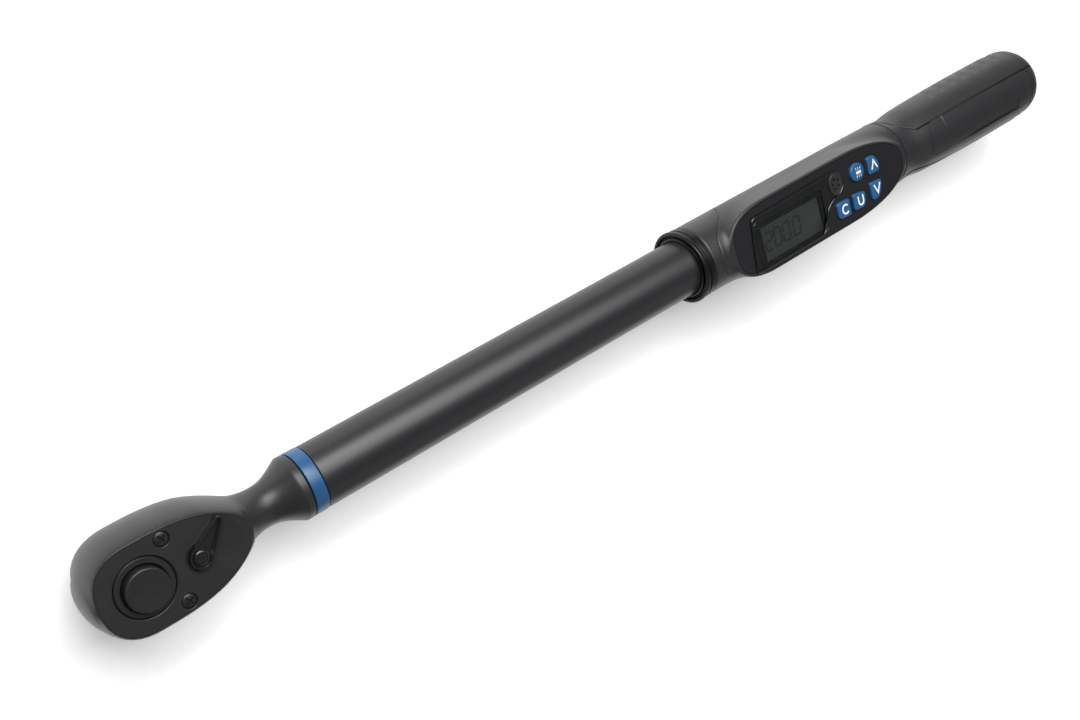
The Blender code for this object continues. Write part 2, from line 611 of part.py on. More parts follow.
def make_tube():
    ring = [(RING_START, SPIGOT_RADIUS + GAP), (RING_END, SPIGOT_RADIUS + GAP), (RING_END, TUBE_RADIUS),
            (RING_END - 0.3, TUBE_RADIUS + 0.2), (RING_START + 0.3, TUBE_RADIUS + 0.2),
            (RING_START, TUBE_RADIUS)]
    keep(turned(ring), "blue_ring", BLUE)
    tube = [(TUBE_START, TUBE_BORE), (TUBE_END, TUBE_BORE),
            (TUBE_END, TUBE_RADIUS), (TUBE_START, TUBE_RADIUS)]
    keep(turned(tube), "outer_tube", BLACK_COATING)
    taper = 10.0
    half = [(BEAM_START, BEAM_HALF_WIDTH),
            (GAUGE_X - 14 - taper, BEAM_HALF_WIDTH), (GAUGE_X - 14, BEAM_WAIST),
            (GAUGE_X + 14, BEAM_WAIST), (GAUGE_X + 14 + taper, BEAM_HALF_WIDTH), (BEAM_END, BEAM_HALF_WIDTH)]
    outline = [(x, -y) for x, y in half] + half[::-1]
    beam = keep(prism(outline, AXIS_Z - BEAM_HALF_HEIGHT, AXIS_Z + BEAM_HALF_HEIGHT), "sensor_beam", STEEL)
    for side, label in ((1, "left"), (-1, "right")):
        low, high = sorted((side * (BEAM_WAIST + GAP), side * (BEAM_WAIST + GAP + 0.3)))
        foil = box((GAUGE_X - 6, low, AXIS_Z - 3), (GAUGE_X + 6, high, AXIS_Z + 3))
        keep(foil, f"strain_gauge_{label}", FOIL)
    sleeve = [(SLEEVE_START, 0.0), (BEAM_END + 8, 0.0),
              (BEAM_END + 8, TUBE_BORE - GAP), (SLEEVE_START, TUBE_BORE - GAP)]
    bush = keep(turned(sleeve), "beam_sleeve", STEEL)
    slot = box((SLEEVE_START - 2, -BEAM_HALF_WIDTH - GAP, AXIS_Z - BEAM_HALF_HEIGHT - GAP),
               (BEAM_END + 12, BEAM_HALF_WIDTH + GAP, AXIS_Z + BEAM_HALF_HEIGHT + GAP))
    carve(bush, slot, "cut_sleeve_slot")
    wire_way = box((SLEEVE_START - 2, 3.2, AXIS_Z + 6.4), (BEAM_END + 12, 6.2, AXIS_Z + 14))
    carve(bush, wire_way, "cut_sleeve_wire_way")
    for label, x, owners in (("beam_pin_front", 79.0, (beam,)), ("beam_pin_rear", 184.0, (beam, bush))):
        keep(rod(2.0, AXIS_Z - SPIGOT_RADIUS + 1.2, AXIS_Z + SPIGOT_RADIUS - 1.2, (x, 0), 16), label, STEEL)
        for number, owner in enumerate(owners):
            hole = rod(2.3, AXIS_Z - 20, AXIS_Z + 20, (x, 0), 16)
            carve(owner, hole, f"cut_{label}_{number}")
    route = [(GAUGE_X + 4, 5.6, 0.0), (GAUGE_X + 16, 7.0, 2.5), (GAUGE_X + 32, 7.0, 6.0), (160, 5.0, 8.0),
             (172, 4.6, 8.0), (204, 4.6, 8.0), (262, 3.0, 9.4), (286, 0.0, 10.0)]
    curve = bpy.data.curves.new("gauge_wire", "CURVE")
    curve.dimensions = "3D"
    curve.bevel_depth = 0.6 * MM
    curve.bevel_resolution = 1
    curve.use_fill_caps = True
    spline = curve.splines.new("POLY")
    spline.points.add(len(route) - 1)
    for spot, (x, y, z) in zip(spline.points, route):
        spot.co = (x * MM, y * MM, (AXIS_Z + z) * MM, 1.0)
    curve.materials.append(RUBBER)
    bpy.context.collection.objects.link(bpy.data.objects.new("gauge_wire", curve))


# ---------------------------------------------------------------- display housing

def panel_outline(inset=0.0):
    """The flat display face: square-shouldered at the front, round at the back."""
    front, back, half = PANEL_FRONT + inset, PANEL_BACK - inset, PANEL_HALF_WIDTH - inset
    side = []
    for k in range(9):
        turn = math.pi / 2 * k / 8
        side.append((front + 24 * (1 - math.cos(turn)) ** 1.25, half * math.sin(turn) ** 0.75))
    for k in range(11):
        turn = math.pi / 2 * k / 10
        side.append((back - 42 + 42 * math.sin(turn) ** 1.0, half * math.cos(turn) ** 0.8))
    side = [point for point in side if point[1] > 1e-6]
    return [(x, -y) for x, y in side] + [(back, 0.0)] + side[::-1] + [(front, 0.0)]


def make_housing():
    front_lip = [(COLLAR_START, TUBE_RADIUS + GAP), (COLLAR_END, TUBE_RADIUS + GAP), (COLLAR_END, 17.0),
                 (COLLAR_START + 4.0, 17.0), (COLLAR_START + 3.4, 16.3), (COLLAR_START + 2.6, 16.3),
                 (COLLAR_START + 2.0, 17.2), (COLLAR_START + 0.7, 17.2), (COLLAR_START, 16.5)]
    keep(turned(front_lip), "front_collar", RUBBER)
    start = COLLAR_END + GAP
    barrel = trough(start, BARREL_END, BARREL_RADIUS, PARTING_Z + GAP / 2, True)
    shell = keep(barrel, "housing_upper", HOUSING)
    bump = prism(panel_outline(), AXIS_Z - 1.0, PANEL_Z)
    carve(shell, bump, "add_bump", "UNION")
    barrel = trough(start, BARREL_END, BARREL_RADIUS, PARTING_Z - GAP / 2, False)
    lower = keep(barrel, "housing_lower", HOUSING)
    for half in (shell, lower):
        bore = trough(start - 5, BARREL_END + 5, BARREL_BORE, PARTING_Z - 3 if half == shell else PARTING_Z + 3,
                      half == shell)
        carve(half, bore, f"cut_bore_{half.name}")
    opening = prism(panel_outline(1.8), AXIS_Z + 3.0, PANEL_Z + 2)
    carve(shell, opening, "cut_panel_opening")
    seat = prism(panel_outline(1.1), PANEL_Z - PANEL_THICKNESS - GAP, PANEL_Z + 2)
    carve(shell, seat, "cut_panel_seat")
    for number, x in enumerate(HOUSING_SCREWS_X, 1):
        sink = rod(2.4, AXIS_Z - 20, AXIS_Z - 15.6, (x, 0), 16)
        carve(lower, sink, f"cut_screw_sink_{number}")
        through = rod(1.3, AXIS_Z - 20, AXIS_Z - 13.4, (x, 0), 12)
        carve(lower, through, f"cut_screw_hole_{number}")
        make_cross_screw(f"housing_screw_{number}", (x, 0.0), 2.1, AXIS_Z - 15.9, AXIS_Z - 16.8, 1.0,
                         AXIS_Z - 13.6, DARK_STEEL)


KEY_TOP = PANEL_Z + 1.3
KEY_UNDERSIDE = PANEL_Z - 0.9
KEYS = {"button_light": (375.2, 5.8, 5.0, 4.6, 4.4), "button_up": (387.3, 5.2, 4.6, 4.7, 2.6),
        "button_down": (386.2, -7.0, 4.6, 4.7, 2.6), "button_c": (361.6, -7.8, 4.8, 4.4, 2.0),
        "button_u": (373.4, -7.7, 4.8, 4.4, 2.0)}
BEZEL = (299.0, 351.5, -14.6, 11.8)
WINDOW = (307.5, 347.5, -11.8, 4.6)
BUZZER_PLACE = (360.6, 5.6)
BUZZER_RADIUS = 5.4


def key_outline(place, grow=0.0):
    x, y, half_x, half_y, corner = place
    return rounded_rectangle(x - half_x - grow, x + half_x + grow, y - half_y - grow, y + half_y + grow,
                             corner + grow, 4)


def make_display():
    low = PANEL_Z - PANEL_THICKNESS
    panel = keep(prism(panel_outline(1.1 + GAP), low, PANEL_Z), "face_panel", PANEL)
    x0, x1, y0, y1 = BEZEL
    carve(panel, prism(rounded_rectangle(x0, x1, y0, y1, 3.0), low - 2, PANEL_Z + 2), "cut_bezel")
    carve(panel, rod(BUZZER_RADIUS + GAP, low - 2, PANEL_Z + 2, BUZZER_PLACE), "cut_buzzer")
    for name, place in KEYS.items():
        carve(panel, prism(key_outline(place, GAP), low - 2, PANEL_Z + 2), f"cut_{name}")
        body = prism(key_outline(place), KEY_UNDERSIDE, KEY_TOP)
        keep(body, name, BLUE, (place[0], place[1], KEY_UNDERSIDE))
    bezel = keep(prism(rounded_rectangle(x0 + GAP, x1 - GAP, y0 + GAP, y1 - GAP, 2.7), low, PANEL_Z + 0.8),
                 "display_bezel", GLOSS)
    a0, a1, b0, b1 = WINDOW
    window = rounded_rectangle(a0 - 1.6, a1 + 1.6, b0 - 1.6, b1 + 1.6, 1.2)
    carve(bezel, prism(window, low - 2, PANEL_Z + 2), "cut_window")
    pane = rounded_rectangle(a0 - 1.3, a1 + 1.3, b0 - 1.3, b1 + 1.3, 0.9)
    keep(prism(pane, PANEL_Z - 0.9, PANEL_Z + 0.1), "display_lens", GLOSS)
    keep(box((a0, b0, PANEL_Z - 2.5), (a1, b1, PANEL_Z - 1.2)), "lcd_module", LCD)
    grille = keep(rod(BUZZER_RADIUS, low, PANEL_Z + 0.4, BUZZER_PLACE), "buzzer_grille", PANEL)
    holes = [(0.0, 0.0)] + [(2.3 * math.cos(a), 2.3 * math.sin(a)) for a in (0.8, 2.37, 3.94, 5.51)]
    for number, (dx, dy) in enumerate(holes):
        hole = rod(0.6, low - 2, PANEL_Z + 2, (BUZZER_PLACE[0] + dx, BUZZER_PLACE[1] + dy), 10)
        carve(grille, hole, f"cut_grille_{number}")
    board = rounded_rectangle(296.0, 398.0, -11.0, 11.0, 2.0)
    keep(prism(board, AXIS_Z + 13.4, AXIS_Z + 14.2), "circuit_board", BOARD)
    for name, place in KEYS.items():
        x, y = place[:2]
        switch = box((x - 1.6, y - 1.6, AXIS_Z + 14.5), (x + 1.6, y + 1.6, AXIS_Z + 15.1))
        keep(switch, name.replace("button", "switch"), STEEL)


# ---------------------------------------------------------------- grip and batteries

def grip_radius(x):
    if x <= DOME_START:
        return smooth(GRIP_PROFILE, x)
    part = (x - DOME_START) / (GRIP_END - DOME_START)
    return DOME_RADIUS * math.sqrt(max(0.0, 1 - part ** DOME_POWER))


def grip_stations(start, end, step=11.0):
    count = max(1, round((end - start) / step))
    return [start + (end - start) * k / count for k in range(count + 1)]


def sector(x0, x1, a0, a1, inner, outer, turns=9):
    """A curved slab between two radius functions and two angles round the tool's axis."""
    bm = bmesh.new()
    rings = []
    for x in grip_stations(x0, x1):
        angles = [math.radians(a0 + (a1 - a0) * k / turns) for k in range(turns + 1)]
        ring = []
        for radius, order in ((outer(x), angles), (inner(x), angles[::-1])):
            ring += [bm.verts.new((x, radius * math.cos(a), AXIS_Z + radius * math.sin(a))) for a in order]
        rings.append(ring)
    ring_faces(bm, rings, closed_ends=False)
    for ring in (rings[0], rings[-1]):
        for k in range(turns):
            other = 2 * turns + 1 - k
            bm.faces.new((ring[k], ring[k + 1], ring[other - 1], ring[other]))
    return bm


def pad_inner(x):
    return grip_radius(x) - PAD_DEPTH


def make_grip():
    dome = [DOME_START + (GRIP_END - DOME_START) * math.sin(math.pi / 2 * k / 7) for k in range(1, 7)]
    stations = grip_stations(GRIP_START, DOME_START, 11.0) + dome
    outer = [(x, grip_radius(x)) for x in stations]
    floor = GRIP_BORE_END + 3.5
    bore = [(GRIP_START, GRIP_BORE), (GRIP_BORE_END, GRIP_BORE), (floor, 9.0), (floor, 0.0)]
    profile = bore + [(GRIP_END, 0.0)] + outer[::-1]
    door = rounded_rectangle(DOOR_START, DOOR_END, -DOOR_HALF_WIDTH, DOOR_HALF_WIDTH, DOOR_CORNER)
    for name, low, high in (("grip_shell_upper", AXIS_Z - 30, AXIS_Z + GAP / 2),
                            ("grip_shell_lower", AXIS_Z - GAP / 2, AXIS_Z + 30)):
        shell = keep(turned(profile), name, HOUSING)
        away = box((GRIP_START - 8, -30, low), (GRIP_END + 8, 30, high))
        carve(shell, away, f"cut_half_{name}")
        for label, a0, a1 in PAD_SPANS:
            room = sector(PAD_START - GAP, PAD_END + GAP, a0 - 1, a1 + 1, lambda x: pad_inner(x) - GAP,
                          lambda x: grip_radius(x) + 3)
            carve(shell, room, f"cut_pad_{label}_{name}")
        if name == "grip_shell_upper":
            carve(shell, prism(door, AXIS_Z + 5, AXIS_Z + 30), "cut_door")
        else:
            make_grip_screws(shell)
    for label, a0, a1 in PAD_SPANS:
        keep(sector(PAD_START, PAD_END, a0, a1, pad_inner, grip_radius), f"grip_pad_{label}", RUBBER)
    slab = sector(DOOR_START - 4, DOOR_END + 4, 55, 125, lambda x: grip_radius(x) - DOOR_THICKNESS,
                  grip_radius)
    cover = keep(slab, "battery_cover", HOUSING, (DOOR_END, 0.0, DOOR_HINGE_Z))
    half = DOOR_HALF_WIDTH - GAP
    inside = rounded_rectangle(DOOR_START + GAP, DOOR_END - GAP, -half, half, DOOR_CORNER - GAP)
    carve(cover, prism(inside, AXIS_Z, AXIS_Z + 30), "keep_door", "INTERSECT")


def make_grip_screws(shell):
    for number, x in enumerate(GRIP_SCREWS_X, 1):
        sink = rod(2.4, AXIS_Z - 22, AXIS_Z - 14.9, (x, 0), 16)
        carve(shell, sink, f"cut_grip_sink_{number}")
        through = rod(1.3, AXIS_Z - 22, AXIS_Z - 10.0, (x, 0), 12)
        carve(shell, through, f"cut_grip_hole_{number}")
        make_cross_screw(f"grip_screw_{number}", (x, 0.0), 2.1, AXIS_Z - 15.2, AXIS_Z - 16.0, 1.0,
                         AXIS_Z - 12.5, DARK_STEEL)


def make_batteries():
    """Two cells in line under the cover, with a contact at each end and a spring behind the second."""
    for number, start in enumerate(CELL_STARTS, 1):
        end = start + CELL_LENGTH
        cell = [(start, 0.0), (end, 0.0), (end, 1.9), (end - 1.0, 1.9), (end - 1.0, CELL_RADIUS - 0.1),
                (start, CELL_RADIUS)]
        keep(turned(cell, segments=SMALL_ROUND), f"battery_{number}", BATTERY)
    for place, x in zip(("front", "rear"), CONTACT_STARTS):
        plate = box((x, -5.5, AXIS_Z - 5.5), (x + 0.6, 5.5, AXIS_Z + 5.5))
        keep(plate, f"battery_contact_{place}", BRASS)
    rear = CONTACT_STARTS[1]
    coil("battery_spring", BRASS, (rear - 3.5, 0.0, AXIS_Z), 2.2, 0.35, rear - 3.4, rear - 0.7, 3, "X", 4.4)
    tray = sector(CONTACT_STARTS[0] + 0.9, rear - GAP, 200, 340, lambda x: TRAY_RADII[0],
                  lambda x: TRAY_RADII[1], 10)
    keep(tray, "battery_tray", HOUSING)


make_head()
make_cover()
for side, label in ((1, "left"), (-1, "right")):
    make_cross_screw(f"cover_screw_{label}", (COVER_SCREW_X, side * COVER_SCREW_Y), 2.6, FACE_Z - 1.0,
                     FACE_Z - 0.1, 1.5, FACE_Z - 8.5, DARK_STEEL)
make_drive()
make_release()
make_lever()
make_pawl()
make_tube()
make_housing()
make_display()
make_grip()
make_batteries()
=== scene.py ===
"""The looks of the digital torque wrench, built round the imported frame.

Sizes below are in millimetres in the frame of the CAD model: the origin is the centre of the square
drive's end face, +X runs to the grip and +Z to the face with the lever and the display.
"""

import math

import bmesh
import bpy
import numpy as np
from mathutils import Matrix, Vector


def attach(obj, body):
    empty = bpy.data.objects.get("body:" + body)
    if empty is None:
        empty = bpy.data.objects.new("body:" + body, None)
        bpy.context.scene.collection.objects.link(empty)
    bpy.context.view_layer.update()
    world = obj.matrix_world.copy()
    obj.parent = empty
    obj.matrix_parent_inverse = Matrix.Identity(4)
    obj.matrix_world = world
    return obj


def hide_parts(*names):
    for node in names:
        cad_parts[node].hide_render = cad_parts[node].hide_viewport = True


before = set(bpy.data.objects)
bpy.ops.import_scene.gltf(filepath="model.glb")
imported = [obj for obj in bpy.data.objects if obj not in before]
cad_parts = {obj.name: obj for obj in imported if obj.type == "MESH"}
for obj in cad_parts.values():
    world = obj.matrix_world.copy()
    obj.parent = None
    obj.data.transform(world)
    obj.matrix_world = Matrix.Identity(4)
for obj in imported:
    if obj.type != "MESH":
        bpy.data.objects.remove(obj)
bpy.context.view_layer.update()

MM = 0.001
AXIS = 27.5                        # height of the tube's axis
HEAD_HALF = 12.4                   # the head's flat faces, each side of the axis
FACE = AXIS + HEAD_HALF
SOLE = AXIS - HEAD_HALF
PANEL_RISE = 17.0                  # the display panel's top, above the axis
PANEL = AXIS + PANEL_RISE
WELD = 1e-4                        # points closer than this are one point


# ---------------------------------------------------------------- camera, floor and light

VIEW = Vector((0.48689, -0.34925, -0.80060))
UPRIGHT = Vector((0.0, 0.898, 0.440))
CAMERA = Vector((-77.5, 183.6, 431.9 + AXIS))
FOCAL_LENGTH = 42.81               # on a sensor 36 mm wide
FLOOR_HALF = 4.0                   # metres
FLOOR_DROP = 0.0004                # metres, so that the drive's end face doesn't share its plane
MIDDLE = (0.25, 0.0, 0.02)         # metres, what the lights point at


def make_camera():
    data = bpy.data.cameras.new("camera")
    data.lens = FOCAL_LENGTH
    data.sensor_width = 36.0
    data.clip_start = 0.01
    made = bpy.data.objects.new("camera", data)
    right = VIEW.cross(UPRIGHT).normalized()
    up = right.cross(VIEW).normalized()
    made.matrix_world = Matrix((
        (right.x, up.x, -VIEW.x, CAMERA.x * MM),
        (right.y, up.y, -VIEW.y, CAMERA.y * MM),
        (right.z, up.z, -VIEW.z, CAMERA.z * MM),
        (0, 0, 0, 1)))
    bpy.context.collection.objects.link(made)
    bpy.context.scene.camera = made


def area_light(name, place, size, power):
    """A soft light aimed at the middle of the wrench, with its place and size in metres."""
    data = bpy.data.lights.new(name, "AREA")
    data.shape = "RECTANGLE"
    data.size, data.size_y = size
    data.energy = power
    made = bpy.data.objects.new(name, data)
    made.location = place
    made.rotation_euler = (Vector(MIDDLE) - Vector(place)).to_track_quat("-Z", "Y").to_euler()
    bpy.context.collection.objects.link(made)


def nodes_of(name):
    made = bpy.data.materials.new(name)
    made.use_nodes = True
    tree = made.node_tree
    return made, tree, tree.nodes["Principled BSDF"]


def make_stage():
    mesh = bpy.data.meshes.new("floor")
    corners = [(x * FLOOR_HALF, y * FLOOR_HALF, 0) for x, y in ((-1, -1), (1, -1), (1, 1), (-1, 1))]
    mesh.from_pydata(corners, [], [(0, 1, 2, 3)])
    floor = bpy.data.objects.new("floor", mesh)
    floor.location = (MIDDLE[0], 0, -FLOOR_DROP)
    bpy.context.collection.objects.link(floor)
    paint, _, shader = nodes_of("floor_white")
    shader.inputs["Base Color"].default_value = (0.93, 0.93, 0.93, 1)
    shader.inputs["Roughness"].default_value = 0.9
    shader.inputs["Specular IOR Level"].default_value = 0.1
    shader.inputs["Emission Color"].default_value = (1, 1, 1, 1)
    shader.inputs["Emission Strength"].default_value = 0.26
    mesh.materials.append(paint)
    world = bpy.data.worlds.new("studio")
    world.use_nodes = True
    world.node_tree.nodes["Background"].inputs[0].default_value = (1, 1, 1, 1)
    world.node_tree.nodes["Background"].inputs[1].default_value = 0.14
    bpy.context.scene.world = world
    area_light("key", (0.05, 1.1, 1.05), (1.1, 0.5), 15)
    area_light("overhead", (0.35, 0.75, 1.35), (1.3, 0.9), 21)
    area_light("fill", (0.75, -1.0, 0.75), (1.2, 0.8), 1.2)
    bpy.context.scene.view_settings.view_transform = "Standard"


# ---------------------------------------------------------------- materials

def noise(tree, scale, detail, coords):
    made = tree.nodes.new("ShaderNodeTexNoise")
    made.inputs["Scale"].default_value = scale
    made.inputs["Detail"].default_value = detail
    made.inputs["Roughness"].default_value = 0.6
    tree.links.new(coords, made.inputs["Vector"])
    return made


def finish(name, colour, roughness, metallic, grain, bump, mottle, spread, coat=0.0, specular=0.5,
           streak=None):
    """A surface with fine grain in its bump, and slow variation in its colour and roughness."""
    made, tree, shader = nodes_of(name)
    links = tree.links
    coords = fine_coords = tree.nodes.new("ShaderNodeTexCoord").outputs["Object"]
    if streak:
        stretch = tree.nodes.new("ShaderNodeMapping")
        stretch.inputs["Scale"].default_value = streak
        links.new(coords, stretch.inputs["Vector"])
        fine_coords = stretch.outputs["Vector"]
    slow = noise(tree, 45.0, 5.0, coords)
    fine = noise(tree, grain, 3.0, fine_coords)
    ramp = tree.nodes.new("ShaderNodeValToRGB")
    dark = [c * (1 - mottle) for c in colour]
    light = [c * (1 + mottle) for c in colour]
    ramp.color_ramp.elements[0].position = 0.3
    ramp.color_ramp.elements[0].color = (*dark, 1)
    ramp.color_ramp.elements[1].position = 0.75
    ramp.color_ramp.elements[1].color = (*light, 1)
    mix = tree.nodes.new("ShaderNodeMath")
    mix.operation = "MULTIPLY_ADD"
    mix.inputs[1].default_value = 0.55
    half = tree.nodes.new("ShaderNodeMath")
    half.operation = "MULTIPLY"
    half.inputs[1].default_value = 0.45
    links.new(fine.outputs["Fac"], half.inputs[0])
    links.new(slow.outputs["Fac"], mix.inputs[0])
    links.new(half.outputs[0], mix.inputs[2])
    links.new(mix.outputs[0], ramp.inputs["Fac"])
    links.new(ramp.outputs["Color"], shader.inputs["Base Color"])
    rough = tree.nodes.new("ShaderNodeMapRange")
    rough.inputs["To Min"].default_value = roughness - spread
    rough.inputs["To Max"].default_value = roughness + spread
    links.new(mix.outputs[0], rough.inputs["Value"])
    links.new(rough.outputs["Result"], shader.inputs["Roughness"])
    relief = tree.nodes.new("ShaderNodeBump")
    relief.inputs["Strength"].default_value = bump
    relief.inputs["Distance"].default_value = 0.0002
    links.new(fine.outputs["Fac"], relief.inputs["Height"])
    links.new(relief.outputs["Normal"], shader.inputs["Normal"])
    shader.inputs["Metallic"].default_value = metallic
    shader.inputs["Specular IOR Level"].default_value = specular
    if coat:
        shader.inputs["Coat Weight"].default_value = coat
        shader.inputs["Coat Roughness"].default_value = 0.12
    return made


COATING = finish("black_powder_coating", (0.017, 0.0175, 0.019), 0.40, 0.0, 1500.0, 0.22, 0.14, 0.05)
TUBE_COAT = finish("tube_coating", (0.014, 0.0145, 0.016), 0.38, 0.0, 1800.0, 0.18, 0.12, 0.05)
PLATE = finish("cover_black_oxide", (0.014, 0.0145, 0.0155), 0.44, 0.0, 1400.0, 0.2, 0.16, 0.06)
SCREW = finish("screw_black", (0.020, 0.020, 0.018), 0.38, 0.3, 1200.0, 0.2, 0.25, 0.08)
STEEL = finish("ground_steel", (0.52, 0.52, 0.53), 0.27, 1.0, 700.0, 0.15, 0.06, 0.07, streak=(1, 1, 12))
BLACK_STEEL = finish("black_oxide_steel", (0.035, 0.034, 0.033), 0.40, 0.55, 900.0, 0.2, 0.2, 0.08)
CHROME = finish("satin_chrome", (0.62, 0.62, 0.63), 0.22, 1.0, 1600.0, 0.1, 0.05, 0.05)
BLUE = finish("ring_blue", (0.011, 0.076, 0.190), 0.36, 0.0, 1500.0, 0.15, 0.10, 0.06)
KEY_BLUE = finish("key_blue", (0.018, 0.088, 0.215), 0.38, 0.0, 1300.0, 0.12, 0.12, 0.05)
LEGEND = finish("legend_white", (0.80, 0.82, 0.84), 0.45, 0.0, 1600.0, 0.08, 0.03, 0.04)
SHELL = finish("housing_moulding", (0.017, 0.0175, 0.019), 0.42, 0.0, 2100.0, 0.30, 0.12, 0.05)
FACE_PANEL = finish("panel_moulding", (0.007, 0.0075, 0.0088), 0.42, 0.0, 2400.0, 0.18, 0.12, 0.05)
GRILLE = finish("grille_moulding", (0.018, 0.018, 0.0175), 0.40, 0.0, 1800.0, 0.2, 0.15, 0.06)
LEVER_BLACK = finish("lever_black", (0.010, 0.010, 0.011), 0.27, 0.0, 900.0, 0.06, 0.12, 0.05, coat=0.3)
GLOSS = finish("gloss_black", (0.006, 0.006, 0.007), 0.16, 0.0, 500.0, 0.02, 0.15, 0.04, coat=0.5)
RUBBER = finish("grip_rubber", (0.017, 0.017, 0.018), 0.46, 0.0, 1900.0, 0.45, 0.18, 0.07, specular=0.48)
COLLAR = finish("collar_rubber", (0.005, 0.005, 0.0055), 0.34, 0.0, 1500.0, 0.15, 0.15, 0.06, specular=0.25)
LCD_GLASS = finish("lcd_reflector", (0.028, 0.033, 0.032), 0.45, 0.0, 1400.0, 0.03, 0.08, 0.05)
SEGMENT = finish("lcd_segment", (0.003, 0.003, 0.0035), 0.50, 0.0, 1400.0, 0.03, 0.08, 0.05)
BOARD = finish("solder_mask", (0.012, 0.085, 0.035), 0.40, 0.0, 800.0, 0.1, 0.2, 0.08)
BRASS = finish("spring_brass", (0.60, 0.48, 0.26), 0.30, 1.0, 900.0, 0.1, 0.08, 0.06)
CELL = finish("battery_sleeve", (0.10, 0.11, 0.13), 0.30, 0.3, 600.0, 0.05, 0.2, 0.05)
FOIL = finish("gauge_foil", (0.42, 0.24, 0.06), 0.40, 0.2, 900.0, 0.1, 0.15, 0.06)


def make_lens_material():
    made, tree, shader = nodes_of("clear_lens")
    shader.inputs["Base Color"].default_value = (0.9, 0.93, 0.92, 1)
    shader.inputs["Transmission Weight"].default_value = 1.0
    shader.inputs["Roughness"].default_value = 0.02
    shader.inputs["IOR"].default_value = 1.2
    return made


LENS = make_lens_material()


# ---------------------------------------------------------------- mesh helpers

SHARP = math.radians(28)


def mesh_of(bm, name):
    """Closes up a bmesh in millimetres and turns it into a mesh in metres."""
    bmesh.ops.remove_doubles(bm, verts=bm.verts, dist=WELD)
    bmesh.ops.recalc_face_normals(bm, faces=bm.faces)
    bmesh.ops.scale(bm, verts=bm.verts, vec=(MM, MM, MM))
    mesh = bpy.data.meshes.new(name)
    bm.to_mesh(mesh)
    bm.free()
    return mesh


def piece(name, bm, look, slot, body="wrench", replaces=(), angle=28):
    """Turns a bmesh in millimetres into a finished piece that rides on a body."""
    mesh = mesh_of(bm, name)
    mesh.materials.append(look)
    mesh.shade_smooth()
    mesh.set_sharp_from_angle(angle=math.radians(angle))
    made = bpy.data.objects.new(name, mesh)
    bpy.context.collection.objects.link(made)
    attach(made, body)
    if replaces:
        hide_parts(*replaces)
    return made


def round_edges(made, width, segments=3, angle=35):
    step = made.modifiers.new("edges", "BEVEL")
    step.width = width * MM
    step.segments = segments
    step.limit_method = "ANGLE"
    step.angle_limit = math.radians(angle)
    step.use_clamp_overlap = True
    step.harden_normals = True


def cut(made, bm, operation="DIFFERENCE"):
    """Applies a Boolean at once, so that no tool is left. A piece's bevel comes after its cuts."""
    tool = bpy.data.objects.new("tool", mesh_of(bm, "tool"))
    bpy.context.collection.objects.link(tool)
    step = made.modifiers.new("cut", "BOOLEAN")
    step.operation = operation
    step.object = tool
    graph = bpy.context.evaluated_depsgraph_get()
    result = bpy.data.meshes.new_from_object(made.evaluated_get(graph), depsgraph=graph)
    made.modifiers.remove(step)
    old = made.data
    made.data = result
    bpy.data.meshes.remove(old)
    bpy.data.objects.remove(tool, do_unlink=True)
    made.data.shade_smooth()
    made.data.set_sharp_from_angle(angle=SHARP)


def skin(bm, rings, ends=True):
    """Joins rings of points with faces, and closes the two ends."""
    count = len(rings[0])
    for low, high in zip(rings, rings[1:]):
        for k in range(count):
            after = (k + 1) % count
            bm.faces.new((low[k], low[after], high[after], high[k]))
    if ends:
        bm.faces.new(rings[0])
        bm.faces.new(rings[-1])


def prism(outline, low, high):
    """An outline stood up between two heights."""
    bm = bmesh.new()
    skin(bm, [[bm.verts.new((x, y, z)) for x, y in outline] for z in (low, high)])
    return bm


def box(low, high):
    corners = [(low[0], low[1]), (high[0], low[1]), (high[0], high[1]), (low[0], high[1])]
    return prism(corners, low[2], high[2])


def turned(profile, axis="X", centre=(0.0, 0.0, AXIS), steps=96):
    """Spins (along, radius) points into a solid; a closed profile that misses the axis makes a ring."""
    bm = bmesh.new()
    rings = []
    for along, radius in profile:
        ring = []
        for k in range(steps):
            a = math.tau * k / steps
            u, v = radius * math.cos(a), radius * math.sin(a)
            if axis == "X":
                spot = (centre[0] + along, centre[1] + u, centre[2] + v)
            else:
                spot = (centre[0] + u, centre[1] + v, centre[2] + along)
            ring.append(spot)
        rings.append([bm.verts.new(p) for p in ring] if radius > 1e-6 else [bm.verts.new(ring[0])])
    for low, high in zip(rings, rings[1:] + rings[:1]):
        if len(low) == 1 and len(high) == 1:
            continue
        for k in range(steps):
            after = (k + 1) % steps
            if len(low) == 1:
                bm.faces.new((low[0], high[after], high[k]))
            elif len(high) == 1:
                bm.faces.new((low[k], low[after], high[0]))
            else:
                bm.faces.new((low[k], low[after], high[after], high[k]))
    return bm


def arc(centre, radius, start, end, steps):
    angles = [math.radians(start + (end - start) * k / steps) for k in range(steps + 1)]
    return [(centre[0] + radius * math.cos(a), centre[1] + radius * math.sin(a)) for a in angles]


def ellipse(centre, wide, high, steps):
    return [(centre[0] + wide * math.cos(a), centre[1] + high * math.sin(a))
            for a in np.linspace(0, math.tau, steps + 1)[:-1]]


def fillet(profile, at, radius, steps=5):
    """Rounds one corner of a profile with an arc-like curve."""
    before, corner, after = (Vector(profile[(at + d) % len(profile)]) for d in (-1, 0, 1))
    start = corner + (before - corner).normalized() * radius
    end = corner + (after - corner).normalized() * radius
    curve = []
    for k in range(steps + 1):
        t = k / steps
        curve.append(tuple(start * (1 - t) ** 2 + corner * 2 * t * (1 - t) + end * t ** 2))
    return curve


def bore(low, high, radius, place, steps=40):
    """A plain upright cylinder to cut a hole with."""
    return turned([(low, 0.0), (high, 0.0), (high, radius), (low, radius)], "Z", (*place, 0), steps)


